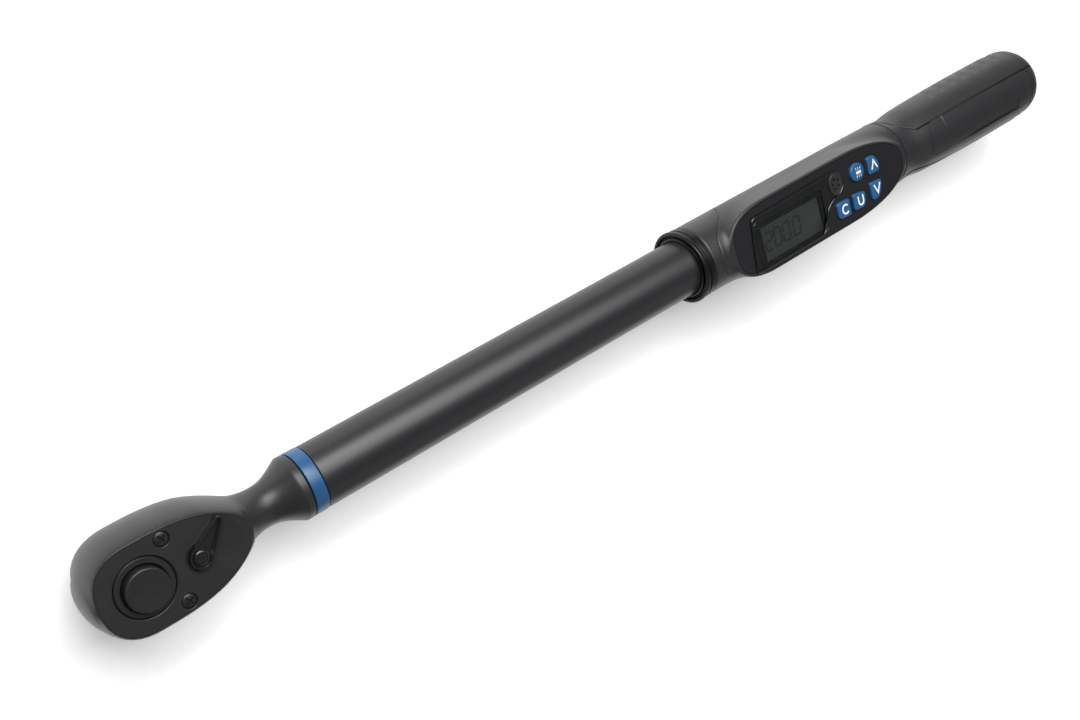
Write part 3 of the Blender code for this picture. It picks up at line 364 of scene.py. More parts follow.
def rounded(profile, corner_radii, steps=5):
    """A closed profile with each corner that has a radius rounded off."""
    result = []
    for k, point in enumerate(profile):
        radius = corner_radii.get(k, 0)
        result += fillet(profile, k, radius, steps) if radius else [point]
    return result


def rounded_rectangle(x0, x1, y0, y1, radius, steps=8):
    outline = []
    for centre, start in (((x1 - radius, y0 + radius), -90), ((x1 - radius, y1 - radius), 0),
                          ((x0 + radius, y1 - radius), 90), ((x0 + radius, y0 + radius), 180)):
        outline += arc(centre, radius, start, start + 90, steps)
    return outline


def inset(outline, amount):
    """Moves a smooth outline inwards along its own normals."""
    points = [Vector(p) for p in outline]
    moved = []
    for k, point in enumerate(points):
        ahead = points[(k + 1) % len(points)] - points[k - 1]
        moved.append(tuple(point + Vector((-ahead.y, ahead.x)).normalized() * amount))
    return moved


def smooth(points, x):
    """Reads a smooth curve through (x, value) points."""
    if x <= points[0][0]:
        return points[0][1]
    for k, ((xa, va), (xb, vb)) in enumerate(zip(points, points[1:])):
        if x <= xb:
            before = points[k - 1] if k else (xa, va)
            after = points[k + 2] if k + 2 < len(points) else (xb, vb)
            slope_a = (vb - before[1]) / (xb - before[0])
            slope_b = (after[1] - va) / (after[0] - xa)
            t, span = (x - xa) / (xb - xa), xb - xa
            return ((2 * t**3 - 3 * t**2 + 1) * va + (t**3 - 2 * t**2 + t) * span * slope_a
                    + (3 * t**2 - 2 * t**3) * vb + (t**3 - t**2) * span * slope_b)
    return points[-1][1]


def about(point, centre, degrees):
    """A point turned about a centre."""
    a = math.radians(degrees)
    dx, dy = point[0] - centre[0], point[1] - centre[1]
    return (centre[0] + dx * math.cos(a) - dy * math.sin(a), centre[1] + dx * math.sin(a) + dy * math.cos(a))


# ---------------------------------------------------------------- ratchet head

NOSE, NOSE_HALF = 20.3, 19.8        # the head's reach ahead of the drive, and half its greatest width
NECK_END = 64.3
FACE_NOSE, FACE_HALF = 17.3, 16.8   # the same for its flat face
FACE_STRAIGHT, FACE_TAIL = 5.0, 37.5
FACE_POWER = 2.4
HEAD_SIDE = [(0.0, 19.8), (8.0, 19.75), (15.0, 19.2), (20.6, 18.5), (26.0, 17.2), (31.0, 15.1), (36.5, 12.3),
             (42.0, 9.4), (47.0, 8.3), (51.0, 8.2), (55.0, 8.7), (59.0, 10.3), (64.3, 13.2)]
HEAD_CROWN = [(36.0, 12.4), (41.0, 12.1), (46.0, 9.7), (51.0, 8.2), (55.0, 8.7), (59.0, 10.3), (64.3, 13.2)]
RIM = 0.28                          # the wall left round the cover plate
CREASE = 3.2                        # how much the roll-over falls away at once from the face
LEVER = (21.0, 0.0)
LEVER_REST = 42.0                   # degrees from +X
LEVER_HUB, LEVER_TIP, LEVER_LENGTH = 4.3, 1.5, 15.6
LEVER_RISE = 2.2
LEVER_RECESS, LEVER_SWEEP = 17.0, 51
GEAR_TEETH = 36
GEAR_BELOW, GEAR_ABOVE = 7.5, 6.5   # the toothed stretch, from the axis
SQUARE_HALF = 6.35
BALL_RADIUS, BALL_HEIGHT = 2.2, 7.0
PIN_BORE_FLOOR, PIN_BORE_RADIUS = 1.8, 3.0
BALL_BORE_END, BALL_BORE_RADIUS = -1.8, 2.45
SCREW_SPOTS = {"left": (11.5, 12.8), "right": (11.5, -12.8)}


def face_half_width(x):
    if x < 0.0:
        return FACE_HALF * max(0.0, 1 - (-x / FACE_NOSE) ** FACE_POWER) ** (1 / FACE_POWER)
    if x < FACE_STRAIGHT:
        return FACE_HALF
    return FACE_HALF * max(0.0, 1 - ((x - FACE_STRAIGHT) / FACE_TAIL) ** FACE_POWER) ** 0.625


def head_half_width(x):
    return NOSE_HALF * math.sqrt(max(0.0, 1 - (x / NOSE) ** 2)) if x < 0.0 else smooth(HEAD_SIDE, x)


def head_half_height(x):
    if x < -FACE_NOSE:
        return HEAD_HALF * math.sqrt(max(0.0, 1 - ((-x - FACE_NOSE) / (NOSE - FACE_NOSE)) ** 2))
    return smooth(HEAD_CROWN, x)


def face_outline(gap, steps=70):
    """The flat face's outline, a gap inside its edge."""
    length = FACE_NOSE + FACE_STRAIGHT + FACE_TAIL
    xs = [-FACE_NOSE + length * (1 - math.cos(math.pi * k / steps)) / 2 for k in range(steps + 1)]
    half = [(x, face_half_width(x)) for x in xs]
    return inset(half[:0:-1] + [(x, -y) for x, y in half[:-1]], gap)


def head_section(x, steps=14):
    """A cross-section: flat faces top and bottom, and sides that roll over from one to the other."""
    wide, flat, high = head_half_width(x), face_half_width(x), head_half_height(x)
    quarter = [(0.0, high)] if flat > 0.01 else []
    for k in range(steps + 1):
        turn = math.pi / 2 * k / steps
        shoulder = CREASE * min(1.0, flat / 8) * min(1.0, (wide - flat) / 3) * (1 - k / steps) * k / steps
        quarter.append((flat + (wide - flat) * math.sin(turn), high * math.cos(turn) - shoulder))
    if flat <= 0.01:
        quarter.insert(1, tuple((a + b) / 2 for a, b in zip(quarter[0], quarter[1])))
    right = quarter + [(y, -z) for y, z in quarter[-2::-1]]
    return right + [(-y, z) for y, z in right[-2:0:-1]]


def lever_fan(radius, depth):
    """The shallow recess the lever swings in: deepest round its hub and run out at the far edge."""
    bm = bmesh.new()
    layers = [[], []]
    for k in range(25):
        reach = max(0.002, k / 24)
        floor = FACE - depth * (1 - reach ** 2) - 0.01
        spots = arc(LEVER, radius * reach, -LEVER_SWEEP, LEVER_SWEEP, 34)
        for layer, z in zip(layers, (FACE + 2, floor)):
            layer.append([bm.verts.new((x, y, z)) for x, y in spots])
    close_layers(bm, *layers)
    return bm


def make_head():
    steps = (3, 6, 9.5, 13, 17, 21, 25.5, 30, 35, 40, 46, 52, 59, 66, 74, 82)
    front = [-NOSE * math.cos(math.radians(a)) for a in steps]
    back = [NECK_END * k / 62 for k in range(63)]
    bm = bmesh.new()
    rings = [[bm.verts.new((x, y, AXIS + z)) for y, z in head_section(x)] for x in front + back]
    bell = [(64.5, 13.22), (66.7, 13.2), (66.95, 13.05), (67.05, 12.8), (67.1, 12.2), (67.1, 10.9),
            (80.0, 10.9)]
    turns = [math.atan2(v.co.y, v.co.z - AXIS) for v in rings[-1]]
    for x, radius in bell:
        rings.append([bm.verts.new((x, radius * math.sin(a), AXIS + radius * math.cos(a))) for a in turns])
    skin(bm, rings, ends=False)
    bm.faces.new(rings[-1])
    tip = bm.verts.new((-NOSE, 0, AXIS))
    for k in range(len(rings[0])):
        bm.faces.new((rings[0][k], rings[0][(k + 1) % len(rings[0])], tip))
    head = piece("head_body", bm, COATING, slot="black_coating", replaces=("ratchet_head",))
    cut(head, prism(face_outline(RIM), FACE - 2.7, FACE + 3))
    chamber = [(FACE, 0.0), (FACE, 12.9), (AXIS - 7.9, 12.9), (AXIS - 7.9, 9.6), (SOLE + 0.6, 9.6),
               (SOLE - 0.4, 10.6), (SOLE - 3, 10.6), (SOLE - 3, 0.0)]
    cut(head, turned(chamber, "Z", (0, 0, 0)))
    cut(head, prism(rounded_rectangle(6.0, 25.0, -9.0, 9.0, 2.5), AXIS - 5, FACE))

    plate = piece("head_cover", prism(face_outline(RIM + 0.12), FACE - 2.4, FACE), PLATE, slot="cover_black",
                  replaces=("cover_plate",))
    hub_hole = [(FACE + 1, 0.0), (FACE + 1, 11.6), (FACE, 11.6), (FACE - 0.35, 11.2), (FACE - 4, 11.2),
                (FACE - 4, 0.0)]
    cut(plate, turned(hub_hole, "Z", (0, 0, 0)))
    cut(plate, lever_fan(LEVER_RECESS, 1.35))
    for floor, radius in ((FACE - 1.2, 5.1), (FACE - 4, 3.4)):
        cut(plate, bore(floor, FACE + 1, radius, LEVER, 96))
    for place in SCREW_SPOTS.values():
        sink = [(FACE - 4, 0.0), (FACE + 1, 0.0), (FACE + 1, 3.15), (FACE, 3.15), (FACE - 0.3, 2.85),
                (FACE - 1.3, 2.85), (FACE - 1.3, 1.9), (FACE - 4, 1.9)]
        cut(plate, turned(sink, "Z", (*place, 0), 48))
    round_edges(plate, 0.34, 3)


def make_screw(name, place, head_radius, top, depth, shank_radius, shank_end, node, up=1):
    """A low domed screw with a cross recess; up is -1 for a screw that faces down."""
    dome = [(top - 0.02 * k * k * up, head_radius * (0.1 + 0.8 * k / 4)) for k in range(5)]
    under = top - depth * up
    profile = [(shank_end, 0.0), (top, 0.0)] + dome[1:]
    profile += [(top - 0.5 * up, head_radius), (under, head_radius), (under, shank_radius),
                (shank_end, shank_radius)]
    screw = piece(name, turned(profile, "Z", (*place, 0), 40), SCREW, slot="dark_steel", replaces=(node,))
    reach, slim = head_radius * 0.66, head_radius * 0.15
    arm = [(-reach, -slim), (reach, -slim), (reach, slim), (-reach, slim)]
    low, high = sorted((top - up, top + up))
    for angle in (28, 118):
        outline = [about(p, (0, 0), angle) for p in arm]
        cut(screw, prism([(place[0] + x, place[1] + y) for x, y in outline], low, high))
    core = head_radius * 0.3
    cone = [(top + up, 0.0), (top + up, core), (top - 0.5 * up, core), (top - 1.3 * up, 0.15),
            (top - 1.3 * up, 0.0)]
    cut(screw, turned(cone, "Z", (*place, 0), 24))
    round_edges(screw, 0.06, 2)


def make_drive():
    """The hub that shows in the cover, the sole ring, the square with its rounded corners, and the gear."""
    top = FACE - 0.1
    hub = [(AXIS + 1, 0.0), (AXIS + 1, 5.0), (AXIS + 8.6, 5.0), (AXIS + 8.6, 8.4), (top - 0.5, 8.4),
           (top, 8.9), (top, 10.55), (top - 0.35, 10.9), (AXIS + 6.6, 10.9), (AXIS + 6.6, 11.4),
           (AXIS - 7.6, 11.4), (AXIS - 7.6, 9.3), (SOLE + 0.5, 9.3), (SOLE + 0.1, 8.9), (SOLE + 0.1, 0.0)]
    drive = piece("drive_hub_and_square", turned(hub, "Z", (0, 0, 0)), BLACK_STEEL, body="drive",
                  slot="dark_steel", replaces=("drive_gear",))
    teeth = []
    for k in range(GEAR_TEETH):
        for part, radius in ((-0.5, 11.38), (-0.08, 12.4), (0.08, 12.4)):
            a = math.tau * (k + part) / GEAR_TEETH
            teeth.append((radius * math.cos(a), radius * math.sin(a)))
    cut(drive, prism(teeth, AXIS - GEAR_BELOW, AXIS + GEAR_ABOVE), "UNION")
    bm = bmesh.new()
    rings = []
    for z, half in ((0.0, 5.45), (0.35, 5.85), (0.9, 6.2), (1.5, SQUARE_HALF), (SOLE + 1, SQUARE_HALF)):
        outline = rounded_rectangle(-half, half, -half, half, 0.95, 6)
        rings.append([bm.verts.new((x, y, z)) for x, y in outline])
    skin(bm, rings)
    cut(drive, bm, "UNION")
    ball_bore = [(-12.0, 0.0), (-12.0, BALL_BORE_RADIUS), (BALL_BORE_END, BALL_BORE_RADIUS),
                 (BALL_BORE_END, 0.0)]
    cut(drive, turned(ball_bore, "X", (0, 0, BALL_HEIGHT), 40))
    cut(drive, bore(PIN_BORE_FLOOR, AXIS + 3, PIN_BORE_RADIUS, (0, 0), 48))
    ball = bmesh.new()
    bmesh.ops.create_uvsphere(ball, u_segments=48, v_segments=24, radius=BALL_RADIUS)
    bmesh.ops.translate(ball, verts=ball.verts, vec=(-5.35, 0, BALL_HEIGHT))
    piece("square_detent_ball", ball, CHROME, body="ball", slot="steel", replaces=("detent_ball",))


def make_button():
    base, top = AXIS + 11.6, AXIS + 15.8
    profile = rounded([(base, 0.0), (top - 0.12, 0.0), (top - 0.1, 3.0), (top - 0.04, 5.0), (top, 7.0),
                       (top, 8.0), (base, 8.0)], {5: 0.75}, 6)
    piece("release_button", turned(profile, "Z", (0, 0, 0)), BLACK_STEEL, body="release", slot="cover_black",
          replaces=("quick_release_button",))


def teardrop(shrink=0.0, steps=40):
    """The lever's outline, or one that lies inside it all the way round."""
    hub, tip = LEVER_HUB - shrink, max(0.05, LEVER_TIP - shrink)
    reach = LEVER_LENGTH - shrink - tip
    lean = math.degrees(math.acos((hub - tip) / reach))
    outline = arc(LEVER, hub, lean, 360 - lean, steps)
    outline += arc((LEVER[0] + reach, 0), tip, -lean, lean, steps // 3)
    return [about(p, LEVER, LEVER_REST) for p in outline]


def make_lever():
    top = FACE + LEVER_RISE
    lever = piece("selector_lever", prism(teardrop(), FACE + 0.3, top), LEVER_BLACK, body="lever",
                  slot="gloss", replaces=("reversing_lever",))
    bm = bmesh.new()
    rings = []
    for rise, shrink in ((0.5, 0.55), (0.0, 0.6), (-0.6, 0.95), (-1.1, 1.35), (-1.35, 1.45)):
        rings.append([bm.verts.new((x, y, top + rise)) for x, y in teardrop(shrink)])
    skin(bm, rings)
    cut(lever, bm)
    spindle = [(AXIS - 6.6, 0.0), (FACE + 1, 0.0), (FACE + 1, 4.1), (FACE - 0.7, 4.1), (FACE - 0.9, 3.9),
               (FACE - 0.9, 3.0), (AXIS - 6.6, 3.0)]
    cut(lever, turned(spindle, "Z", (*LEVER, 0), 64), "UNION")
    knob = rounded([(FACE + 0.6, 0.0), (top - 0.1, 0.0), (top - 0.1, 1.4), (top - 0.1, 2.9),
                    (FACE + 0.6, 3.15)], {2: 0.6, 3: 1.0}, 6)
    cut(lever, turned(knob, "Z", (*LEVER, 0), 64), "UNION")
    round_edges(lever, 0.2, 3)


# ---------------------------------------------------------------- tube, blue ring and collar

TUBE_RADIUS = 13.0
COLLAR_START = 270.3


def make_tube():
    ring = rounded([(67.5, 11.2), (72.9, 11.2), (72.9, 13.2), (67.5, 13.2)], {2: 0.35, 3: 0.35}, 4)
    piece("blue_band", turned(ring, steps=128), BLUE, slot="blue", replaces=("blue_ring",))
    tube = rounded([(73.2, 11.3), (420.0, 11.3), (420.0, TUBE_RADIUS), (73.2, TUBE_RADIUS)], {3: 0.4}, 4)
    piece("tube_coated", turned(tube, steps=128), TUBE_COAT, slot="black_coating", replaces=("outer_tube",))
    lip = [(0.0, 13.3), (6.1, 13.3), (6.1, 16.9), (3.6, 16.9), (3.0, 16.2), (2.5, 16.2), (2.0, 17.2),
           (0.0, 17.2), (0.0, 15.6), (1.3, 15.1), (1.3, 14.6), (0.2, 14.3)]
    soft = {3: 0.3, 4: 0.3, 5: 0.3, 6: 0.5, 7: 0.8, 8: 0.4, 9: 0.3, 10: 0.3, 11: 0.4, 0: 0.2}
    beads = rounded([(COLLAR_START + along, radius) for along, radius in lip], soft, 4)
    piece("collar_beads", turned(beads, steps=128), COLLAR, slot="rubber", replaces=("front_collar",))


# ---------------------------------------------------------------- display housing

PANEL_FRONT, PANEL_BACK, PANEL_HALF = 288.9, 410.6, 17.2
PANEL_RIM = 1.1                    # the housing's edge round the panel
HOUSING_START, HOUSING_END = 276.7, 413.0
HOUSING_BORE = 15.0
HOUSING_SCREWS_X = (284.0, 406.0)
SCREW_SINK = 2.4
BLOCK_EDGE = 1.0                   # the display block's own edge radius
SEAM_UNDER = math.pi / 2 + 1.745   # the angle whose seam place the whole underside takes


def panel_outline(gap=0.0, fine=3):
    """The display face, square at the front and drawn out at the back, a gap inside its edge."""
    front, back, half = PANEL_FRONT + gap, PANEL_BACK - gap, PANEL_HALF - gap
    side = []
    for k in range(8 * fine + 1):
        turn = math.pi / 2 * k / (8 * fine)
        side.append((front + 24 * (1 - math.cos(turn)) ** 1.25, half * math.sin(turn) ** 0.75))
    for k in range(10 * fine + 1):
        turn = math.pi / 2 * k / (10 * fine)
        side.append((back - 42 + 42 * math.sin(turn), half * math.cos(turn) ** 0.8))
    side = [point for point in side if point[1] > 1e-6]
    return [(x, -y) for x, y in side] + [(back, 0.0)] + side[::-1] + [(front, 0.0)]


def outline_distance(xs, ys, outline):
    """Signed distance from points to a closed outline, negative inside it."""
    best = np.full(xs.shape, 1e9)
    inside = np.zeros(xs.shape, bool)
    for (ax, ay), (bx, by) in zip(outline, outline[1:] + outline[:1]):
        ex, ey = bx - ax, by - ay
        t = np.clip(((xs - ax) * ex + (ys - ay) * ey) / (ex * ex + ey * ey + 1e-12), 0, 1)
        best = np.minimum(best, (xs - ax - t * ex) ** 2 + (ys - ay - t * ey) ** 2)
        crosses = (ay > ys) != (by > ys)
        where = ax + (ys - ay) * ex / (ey if abs(ey) > 1e-12 else 1e-12)
        inside ^= crosses & (xs < where)
    return np.where(inside, -1, 1) * np.sqrt(best)


def housing_radius(xs, turns):
    """The housing's radius round the axis: a barrel and the raised display block, blended together."""
    outline = panel_outline(0.0, 2)
    barrel = np.interp(xs, (HOUSING_START, 277.6, 283.0, 300.0, 383.0, HOUSING_END),
                       (16.2, 16.7, 16.75, 16.8, 16.8, 16.6))
    low, high = np.full(xs.shape, 10.0), np.full(xs.shape, 30.0)
    for _ in range(24):
        middle = (low + high) / 2
        y, z = middle * np.cos(turns), middle * np.sin(turns)
        side = outline_distance(xs, y, outline)
        top = z - PANEL_RISE
        corner = np.hypot(np.maximum(side + BLOCK_EDGE, 0), np.maximum(top + BLOCK_EDGE, 0))
        block = np.minimum(np.maximum(side, top) + BLOCK_EDGE, 0) - BLOCK_EDGE + corner
        barrel_gap = middle - barrel
        blend = np.interp(xs, (286, 320, 380, 405), (5.0, 1.2, 1.2, 4.0))
        mix = np.clip(0.5 + 0.5 * (barrel_gap - block) / blend, 0, 1)
        joined = barrel_gap * (1 - mix) + block * mix - blend * mix * (1 - mix)
        gap = np.maximum(np.where(z > 0, joined, barrel_gap), top)
        low, high = np.where(gap < 0, middle, low), np.where(gap < 0, high, middle)
    return (low + high) / 2


def seam_depth(xs, turns):
    """A fine parting line that sweeps forward over the top, just before the display block."""
    lean = np.abs(np.degrees(turns) - 90)
    line = np.interp(lean, (0, 30, 48, 68, 100), (281.5, 283.5, 287.5, 294.5, 301.0))
    return 0.28 * np.exp(-((xs - line) / 0.32) ** 2)


def close_layers(bm, top, under):
    """Skins two grids of vertices and the four sides between them."""
    rows, columns = len(top), len(top[0])
    for i in range(rows - 1):
        for j in range(columns - 1):
            bm.faces.new((top[i][j], top[i + 1][j], top[i + 1][j + 1], top[i][j + 1]))
            bm.faces.new((under[i][j], under[i][j + 1], under[i + 1][j + 1], under[i + 1][j]))
        for j in (0, columns - 1):
            bm.faces.new((top[i][j], top[i + 1][j], under[i + 1][j], under[i][j]))
    for j in range(columns - 1):
        for i in (0, rows - 1):
            bm.faces.new((top[i][j], top[i][j + 1], under[i][j + 1], under[i][j]))


def polar_block(xs, spin, height, deep):
    """A closed slab over a grid of places, between two radii."""
    bm = bmesh.new()
    layers = []
    for radius in (height, deep):
        y, z = radius * np.cos(spin), AXIS + radius * np.sin(spin)
        layers.append([[bm.verts.new((xs[i, j], y[i, j], z[i, j])) for j in range(xs.shape[1])]
                       for i in range(xs.shape[0])])
    close_layers(bm, *layers)
    return bm


def polar_shell(name, stations, turns, outer, inner, look, **placed):
    """A closed shell between an outer relief and a plain inner radius, over a span of angles."""
    grid_x, grid_t = np.meshgrid(stations, turns, indexing="ij")
    slab = polar_block(grid_x, grid_t, outer(grid_x, grid_t), inner(grid_x))
    return piece(name, slab, look, **placed)


def make_housing():
    lean = math.asin(-7.15 / 16.8)           # the parting line lies 7.15 below the axis
    fine = np.arange(HOUSING_START, 318.0, 0.45)
    stations = np.concatenate(([HOUSING_START, 276.9], fine[1:], np.arange(318.5, 366.0, 2.5),
                               np.arange(366.0, HOUSING_END - 0.8, 0.7), [HOUSING_END - 0.4, HOUSING_END]))
    turns = np.radians(np.linspace(math.degrees(lean), 180 - math.degrees(lean), 210))

    def inner(xs):
        return np.full(xs.shape, HOUSING_BORE)

    upper = polar_shell("housing_top_shell", stations, turns,
                        lambda xs, spins: housing_radius(xs, spins) - seam_depth(xs, spins), inner,
                        SHELL, slot="housing", replaces=("housing_upper",))
    cut(upper, prism(panel_outline(PANEL_RIM), PANEL - 1.8, PANEL + 3))
    cut(upper, prism(panel_outline(1.8), AXIS + 3.0, PANEL + 2))
    turns = np.radians(np.linspace(180 + 26.3, 360 - 26.3, 90))
    stations = np.concatenate(([HOUSING_START, 277.0, 277.6], np.arange(279.0, 412.0, 1.2),
                               [412.6, HOUSING_END]))
    lower = polar_shell("housing_bottom_shell", stations, turns,
                        lambda xs, spins: housing_radius(xs, spins) - seam_depth(xs, SEAM_UNDER), inner,
                        SHELL, slot="housing", replaces=("housing_lower",))
    for number, x in enumerate(HOUSING_SCREWS_X, 1):
        cut(lower, bore(AXIS - 22, AXIS - 15.6, SCREW_SINK, (x, 0)))
        make_screw(f"housing_fastener_{number}", (x, 0.0), 2.1, AXIS - 16.5, 0.6, 1.0, AXIS - 14.9,
                   f"housing_screw_{number}", up=-1)


# ---------------------------------------------------------------- display, keys and what is under them

BEZEL_CORNERS = [(298.6, -14.9), (347.0, -14.9), (350.4, -9.0), (352.6, -4.2), (356.6, -1.6), (363.4, -0.2),
                 (366.6, 4.6), (365.8, 9.4), (361.4, 12.2), (354.0, 12.4), (302.4, 11.4)]
BEZEL_ROUND = {0: 3.2, 1: 3.0, 2: 2.2, 3: 2.2, 4: 2.2, 5: 2.8, 6: 2.4, 7: 2.2, 8: 2.4, 9: 2.6, 10: 3.4}
KEY_OUTLINES = {
    "up": ([(383.0, 1.0), (390.6, 0.8), (391.6, 5.0), (388.6, 9.7), (383.2, 9.8)],
           {0: 1.4, 1: 1.3, 2: 2.4, 3: 2.2, 4: 1.8}),
    "down": ([(382.0, -11.5), (386.8, -11.6), (389.6, -8.2), (390.8, -3.2), (382.0, -2.6)],
             {0: 1.8, 1: 1.8, 2: 2.2, 3: 1.4, 4: 1.4}),
    "c": ([(357.0, -11.7), (365.8, -12.0), (366.2, -3.8), (357.0, -3.5)], {0: 3.0, 1: 1.2, 2: 1.2, 3: 2.2}),
    "u": ([(368.6, -11.5), (376.6, -11.9), (378.2, -4.4), (368.8, -3.4)], {0: 1.4, 1: 2.6, 2: 2.6, 3: 1.4}),
}
KEY_TOP = PANEL + 1.3
LIGHT_KEY_SPOT, LIGHT_KEY_RADII = (375.3, 5.8), (4.9, 4.5)
GRILLE_SPOT = (360.6, 5.6)
WINDOW = (303.6, 350.2, -13.7, 8.1)
WINDOW_CORNER = 2.2


def key_outline(name):
    if name == "light":
        return ellipse(LIGHT_KEY_SPOT, *LIGHT_KEY_RADII, 48)
    corners, corner_radii = KEY_OUTLINES[name]
    return rounded(corners, corner_radii, 8)


def pillow(outline, low, top, soft=0.7, dome=0.25):
    """A key: straight sides, a soft edge and a slightly crowned top."""
    bm = bmesh.new()
    levels = [(0.0, low), (0.0, top - soft)]
    levels += [(soft * (1 - math.cos(a)), top - soft + soft * math.sin(a))
               for a in (0.4, 0.8, 1.15, 1.45)]
    centre = Vector((sum(p[0] for p in outline), sum(p[1] for p in outline))) / len(outline)
    rings = [[bm.verts.new((x, y, z)) for x, y in inset(outline, amount)] for amount, z in levels]
    edge = inset(outline, soft)
    for part in (0.8, 0.55, 0.3):
        spots = [centre + (Vector(p) - centre) * part for p in edge]
        rings.append([bm.verts.new((p.x, p.y, top + dome * (1 - part ** 2))) for p in spots])
    skin(bm, rings)
    return bm


def stroke(points, width):
    """A flat ribbon outline round a path, with square ends."""
    path = [Vector(p) for p in points]
    left, right = [], []
    for k, point in enumerate(path):
        before = path[k - 1] if k else point
        after = path[k + 1] if k + 1 < len(path) else point
        a, b = (point - before), (after - point)
        a = a.normalized() if a.length > 1e-9 else b.normalized()
        b = b.normalized() if b.length > 1e-9 else a
        normal = Vector((-(a + b).y, (a + b).x)).normalized()
        reach = width / 2 / max(0.4, normal.dot(Vector((-b.y, b.x))))
        left.append(tuple(point + normal * reach))
        right.append(tuple(point - normal * reach))
    return right + left[::-1]


def legend(name, outlines, body, top):
    bm = bmesh.new()
    for outline in outlines:
        skin(bm, [[bm.verts.new((x, y, z)) for x, y in outline] for z in (top - 0.35, top + 0.16)])
    piece(name, bm, LEGEND, body=body, slot="blue")


def make_keys():
    shapes = {
        "c": [stroke(arc((362.0, -7.8), 2.15, 42, 318, 24), 0.85)],
        "u": [stroke([(371.7, -5.4), (371.7, -8.2)] + arc((373.4, -8.2), 1.7, 180, 360, 12)
                     + [(375.1, -5.4)], 0.85)],
        "up": [stroke([(385.2, 3.2), (387.2, 7.3), (389.2, 3.2)], 0.8)],
        "down": [stroke([(384.2, -4.4), (386.2, -8.8), (388.6, -4.4)], 0.8)],
        "light": [[(373.9, 5.0), (377.3, 5.0), (377.3, 6.3), (373.9, 6.3)]],
    }
    for k in (-1, 0, 1):
        x = 375.6 + 1.2 * k
        shapes["light"].append(stroke([(x + 0.12 * k, 7.0), (x + 0.4 * k, 8.1)], 0.32))
        shapes["light"].append(stroke([(x + 0.12 * k, 4.4), (x + 0.4 * k, 3.3)], 0.32))
    for name, outlines in shapes.items():
        piece(f"key_{name}_cap", pillow(key_outline(name), PANEL - 0.9, KEY_TOP), KEY_BLUE,
              slot="blue", body=f"key_{name}", replaces=(f"button_{name}",))
        legend(f"key_{name}_legend", outlines, f"key_{name}", KEY_TOP + 0.17)


def make_display():
    outline = panel_outline(PANEL_RIM + 0.25, 4)
    plate = piece("key_panel", prism(outline, PANEL - 1.5, PANEL), FACE_PANEL, slot="panel",
                  replaces=("face_panel",))
    bezel_line = rounded(BEZEL_CORNERS, BEZEL_ROUND, 8)
    cut(plate, prism(inset(bezel_line, -0.05), PANEL - 3, PANEL + 2))
    for name in ("light", *KEY_OUTLINES):
        cut(plate, prism(inset(key_outline(name), -0.28), PANEL - 3, PANEL + 2))
    round_edges(plate, 0.3, 3)

    bezel = piece("display_frame", prism(inset(bezel_line, 0.12), PANEL - 1.5, PANEL + 0.32), GLOSS,
                  slot="gloss", replaces=("display_bezel",))
    cut(bezel, prism(inset(bezel_line, 0.85), PANEL - 0.1, PANEL + 2))
    cut(bezel, prism(rounded_rectangle(*WINDOW, WINDOW_CORNER), PANEL - 0.55, PANEL + 2))
    cut(bezel, prism(rounded_rectangle(307.6, 347.6, -12.2, 4.6, 0.6), PANEL - 3, PANEL + 2))
    cut(bezel, prism(ellipse(GRILLE_SPOT, 5.0, 5.6, 64), PANEL - 3, PANEL + 2))
    round_edges(bezel, 0.22, 3)
    make_rim("display_rim", bezel_line, 0.1, 1.1, PANEL + 0.3, 0.42)
    make_rim("window_rim", rounded_rectangle(*WINDOW, WINDOW_CORNER), -0.3, 0.6, PANEL - 0.15, 0.3)
    glass = rounded_rectangle(WINDOW[0] + 0.3, WINDOW[1] - 0.3, WINDOW[2] + 0.3, WINDOW[3] - 0.3,
                              WINDOW_CORNER - 0.3)
    pane = piece("display_window", prism(glass, PANEL - 0.5, PANEL - 0.2), LENS, slot="lens",
                 replaces=("display_lens",))
    round_edges(pane, 0.08, 2)
    screen = piece("lcd_panel", box((307.0, -12.6, PANEL - 2.4), (348.0, 4.9, PANEL - 1.3)), LCD_GLASS,
                   slot="lcd", replaces=("lcd_module",))
    round_edges(screen, 0.1)
    make_digits()

    sunk = [(PANEL - 1.5, 0.0), (PANEL, 0.0), (PANEL + 0.02, 2.6), (PANEL + 0.2, 4.2),
            (PANEL + 0.45, 4.75), (PANEL + 0.3, 5.0), (PANEL - 1.5, 5.0)]
    bm = turned(sunk, "Z", (0, 0, 0), 72)
    bmesh.ops.scale(bm, verts=bm.verts, vec=(1, 1.1, 1))
    bmesh.ops.translate(bm, verts=bm.verts, vec=(*GRILLE_SPOT, 0))
    grille = piece("buzzer_cover", bm, GRILLE, slot="panel", replaces=("buzzer_grille",))
    for k in range(5):
        a = math.radians(36 + 72 * k)
        spot = (GRILLE_SPOT[0] + 2.2 * math.cos(a), GRILLE_SPOT[1] + 2.4 * math.sin(a))
        cut(grille, bore(PANEL - 3, PANEL + 2, 0.62, spot, 24))


def make_rim(name, outline, start, width, low, height):
    """A half-round bead along an outline."""
    bm = bmesh.new()
    rings = []
    for k in range(13):
        turn = math.pi * k / 12
        amount = start + width * (1 - math.cos(turn)) / 2
        z = low + height * math.sin(turn)
        rings.append([bm.verts.new((x, y, z)) for x, y in inset(outline, amount)])
    skin(bm, rings + [rings[0]], ends=False)
    piece(name, bm, GLOSS, slot="gloss", angle=60)


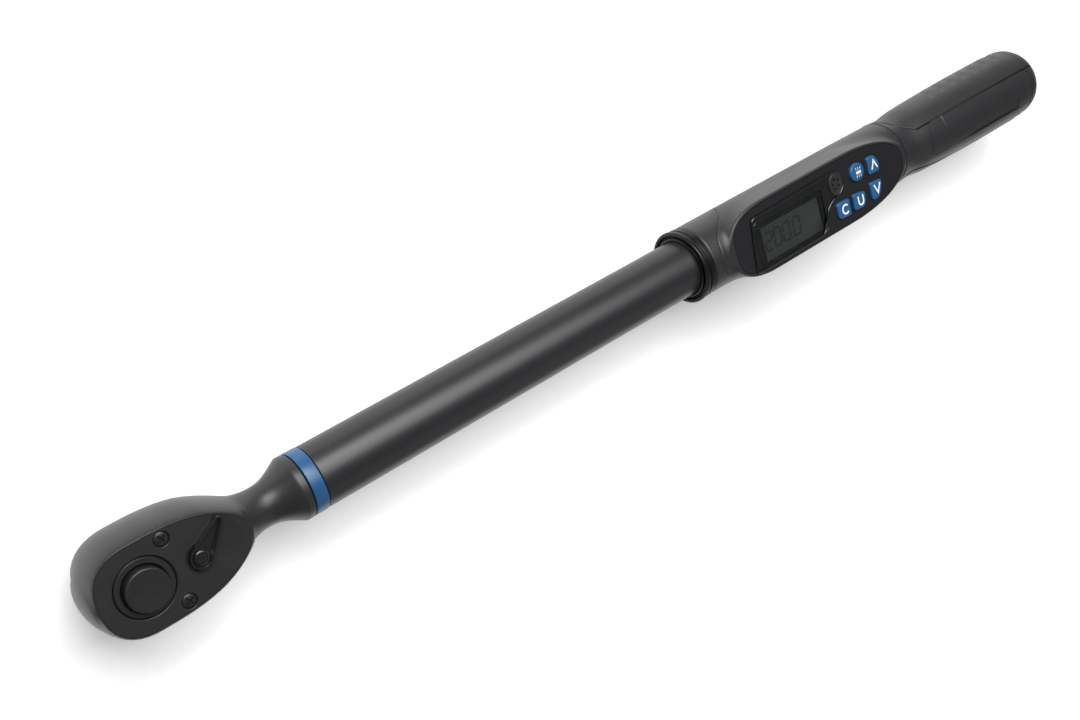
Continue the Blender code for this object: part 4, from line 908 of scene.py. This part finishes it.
def make_digits():
    """Seven-bar digits, leaning a little, that read 200.0 from the front end."""
    wide, high, bar = 4.4, 8.4, 1.0
    bars = {"a": ((0, 1), (1, 1)), "b": ((1, 1), (1, 0.5)), "c": ((1, 0.5), (1, 0)), "d": ((0, 0), (1, 0)),
            "e": ((0, 0), (0, 0.5)), "f": ((0, 0.5), (0, 1)), "g": ((0, 0.5), (1, 0.5))}
    bm = bmesh.new()

    def add(outline):
        skin(bm, [[bm.verts.new((x, y, z)) for x, y in outline] for z in (PANEL - 1.32, PANEL - 1.26)])

    for slot_number, lit in enumerate(("abged", "abcdef", "abcdef", "abcdef")):
        x0 = 309.3 + 6.1 * slot_number + (0.9 if slot_number == 3 else 0)
        y0 = -7.6
        for label in lit:
            ends = [Vector((x0 + u * wide + 0.08 * v * high, y0 + v * high)) for u, v in bars[label]]
            along = (ends[1] - ends[0]).normalized()
            add(stroke([ends[0] + along * 0.42, ends[1] - along * 0.42], bar))
    add(rounded_rectangle(327.0, 327.9, -8.0, -7.1, 0.3, 3))
    piece("lcd_segments", bm, SEGMENT, slot="lcd")


# ---------------------------------------------------------------- grip

GRIP_PROFILE = [(413.3, 16.75), (418.0, 16.2), (423.0, 16.1), (433.0, 17.2), (444.0, 17.7), (458.0, 18.1),
                (478.0, 18.5), (500.0, 18.6), (512.0, 18.6), (518.0, 18.3)]
GRIP_START, DOME, GRIP_END = 413.3, 518.0, 533.2
DOME_RADIUS = 18.3
GRIP_SCREWS_X = (424.0, 517.0)
PAD_END = 524.6
NOTCHES, NOTCH_START, NOTCH_STEP = 7, 455.0, 9.4
DEGREE = 0.32                      # how many millimetres a degree is round the grip
PADS = {"left": (-60.0, 60.0), "right": (150.0, 240.0)}
DOOR = (434.0, 520.0, -8.9, 8.9)


def grip_radius(x):
    if x <= DOME:
        return smooth(GRIP_PROFILE, x)
    return DOME_RADIUS * math.sqrt(max(0.0, 1 - ((x - DOME) / (GRIP_END - DOME)) ** 3))


def grip_radii(xs):
    return np.vectorize(grip_radius)(xs)


def door_cutter(grow, low, high):
    outline = rounded_rectangle(DOOR[0] - grow, DOOR[1] + grow, DOOR[2] - grow, DOOR[3] + grow, 5.0 + grow)
    return prism(outline, low, high)


def pad_grid(side, grow, columns, rows):
    """Places on a pad: it begins in a sweep that runs back as it comes round to the edge by the door."""
    low, high = PADS[side]
    low, high = low - grow * 3.2, high + grow * 3.2
    soft = np.array([0.0, 0.4, 0.9, 1.6, 2.4])
    degrees = np.concatenate((low + soft, np.linspace(low + 3.2, high - 3.2, columns), high - soft[::-1]))
    ends = np.array([0.0, 0.0015, 0.0035, 0.006, 0.009])
    along = np.concatenate((ends, np.linspace(0.012, 0.988, rows), 1 - ends[::-1]))[:, None]
    if side == "left":
        front = np.interp(np.abs(degrees), (0, 36, 58, 60), (413.9, 418.0, 426.0, 427.4)) - grow
        turn = np.broadcast_to(degrees[None, :], (len(along), len(degrees)))
        xs = front[None, :] + (PAD_END + grow - front)[None, :] * along
        return xs, turn
    front = np.interp(np.abs(degrees - 180), (0, 30, 46), (414.6, 417.0, 418.0)) - grow
    xs = front[None, :] + (PAD_END + grow - front)[None, :] * along
    edge = np.interp(xs, (418.0, 432.0, 457.0, PAD_END), (134.5, 138.0, 150.5, 154.0)) - grow * 3.2
    turn = edge + (240.0 + grow * 3.2 - edge) * ((degrees - low) / (high - low))[None, :]
    return xs, turn


def make_grip():
    dome = [DOME + (GRIP_END - DOME) * math.sin(math.pi / 2 * k / 24) for k in range(1, 25)]
    barrel = list(np.arange(GRIP_START + 1.2, DOME - 1, 1.6))
    stations = np.array([GRIP_START, GRIP_START + 0.3] + barrel + [DOME] + dome)
    stations[-1] -= 0.0002                       # keeps the last ring off the axis

    def inner(xs):
        return np.minimum(13.6, np.maximum(grip_radii(xs) - 2.2, 0.01))

    pockets = [pad_grid(side, 0.42, 60, 60) for side in PADS]
    for name, start, end, node in (("grip_top_shell", 0.5, 179.5, "grip_shell_upper"),
                                   ("grip_bottom_shell", 180.5, 359.5, "grip_shell_lower")):
        turns = np.radians(np.linspace(start, end, 121))
        shell = polar_shell(name, stations, turns, lambda xs, spins: np.maximum(grip_radii(xs), 0.02),
                            inner, SHELL, slot="housing", replaces=(node,))
        for xs, turn in pockets:
            cut(shell, polar_block(xs, np.radians(turn), grip_radii(xs) + 2, grip_radii(xs) - 1.7))
        if "top" in name:
            cut(shell, door_cutter(0.2, AXIS + 5, AXIS + 30))
        else:
            for number, x in enumerate(GRIP_SCREWS_X, 1):
                cut(shell, bore(AXIS - 24, AXIS - 14.9, SCREW_SINK, (x, 0)))
                make_screw(f"grip_fastener_{number}", (x, 0.0), 2.1, AXIS - 15.8, 0.5, 1.0, AXIS - 14.0,
                           f"grip_screw_{number}", up=-1)
        round_edges(shell, 0.2, 2, 50)
    for side in PADS:
        make_pad(side)
    make_door()


def make_pad(side):
    """A rubber pad with soft edges and a row of slanting notches, each steep in front and run out behind."""
    xs, turn = pad_grid(side, 0.0, 150, 230)
    low, high = turn[:, :1], turn[:, -1:]
    border = np.minimum.reduce((xs - xs[:1, :], xs[-1:, :] - xs, (turn - low) * DEGREE,
                                (high - turn) * DEGREE))
    soft = np.clip(border / 1.1, 0, 1)
    height = grip_radii(xs) + 0.2 - 0.8 * (1 - np.sqrt(1 - (1 - soft) ** 2))
    lean = turn - (0 if side == "left" else 180)
    window = np.clip((25 - np.abs(lean)) / 16, 0, 1)
    for k in range(NOTCHES):
        behind = xs - (NOTCH_START + NOTCH_STEP * k - lean * 0.16)
        scallop = np.where(behind > 0, np.exp(-(behind / 2.8) ** 2), np.exp(-(behind / 0.3) ** 2))
        height = height - 1.1 * scallop * window
    pad = polar_block(xs, np.radians(turn), height, grip_radii(xs) - 1.6)
    piece(f"rubber_pad_{side}", pad, RUBBER, slot="rubber", replaces=(f"grip_pad_{side}",), angle=60)


def make_door():
    """The battery cover, with a hollow whose ends are steep on one side and fade out on the other."""
    stations = np.arange(DOOR[0] - 2, DOOR[1] + 2.1, 0.5)
    turns = np.radians(np.linspace(54, 126, 130))

    def outer(xs, spins):
        y = grip_radii(xs) * np.cos(spins)
        front = (xs - (446.0 + 0.03 * (8.5 - y) ** 2)) / np.interp(y, (-6, 3), (22.0, 0.8))
        rear = (508.0 - 0.03 * (8.5 + y) ** 2 - xs) / np.interp(y, (-3, 6), (0.8, 22.0))
        dip = np.clip(np.minimum(front, rear), 0, 1)
        crest = (np.exp(-(front * 0.8 / 0.45) ** 2) * np.clip((y - 1) / 2, 0, 1)
                 + np.exp(-(rear * 0.8 / 0.45) ** 2) * np.clip((-1 - y) / 2, 0, 1))
        return grip_radii(xs) - 0.6 * dip * dip * (3 - 2 * dip) + 0.22 * crest

    door = polar_shell("battery_door", stations, turns, outer, lambda xs: grip_radii(xs) - 1.9, SHELL,
                       body="door", slot="housing", replaces=("battery_cover",))
    cut(door, door_cutter(0.0, AXIS, AXIS + 30), "INTERSECT")
    round_edges(door, 0.3, 3, 50)


# ---------------------------------------------------------------- pieces kept from the frame

KEPT = {
    STEEL: "release_pin release_spring selector_ball selector_spring pawl_pin sensor_beam beam_sleeve "
           "beam_pin_front beam_pin_rear switch_light switch_up switch_down switch_c switch_u",
    BLACK_STEEL: "pawl",
    FOIL: "strain_gauge_left strain_gauge_right",
    COLLAR: "gauge_wire",
    BOARD: "circuit_board",
    BRASS: "battery_contact_front battery_contact_rear battery_spring",
    CELL: "battery_1 battery_2",
    SHELL: "battery_tray",
}


def finish_kept_nodes():
    for look, names in KEPT.items():
        for name in names.split():
            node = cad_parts[name]
            if not node.material_slots:
                node.data.materials.append(None)
            for place in node.material_slots:
                place.link = "OBJECT"
                place.material = look


make_camera()
make_stage()
make_head()
for side, place in SCREW_SPOTS.items():
    make_screw(f"cover_fastener_{side}", place, 2.6, FACE - 0.1, 1.1, 1.45, FACE - 5.5, f"cover_screw_{side}")
make_drive()
make_button()
make_lever()
make_tube()
make_housing()
make_display()
make_keys()
make_grip()
finish_kept_nodes()
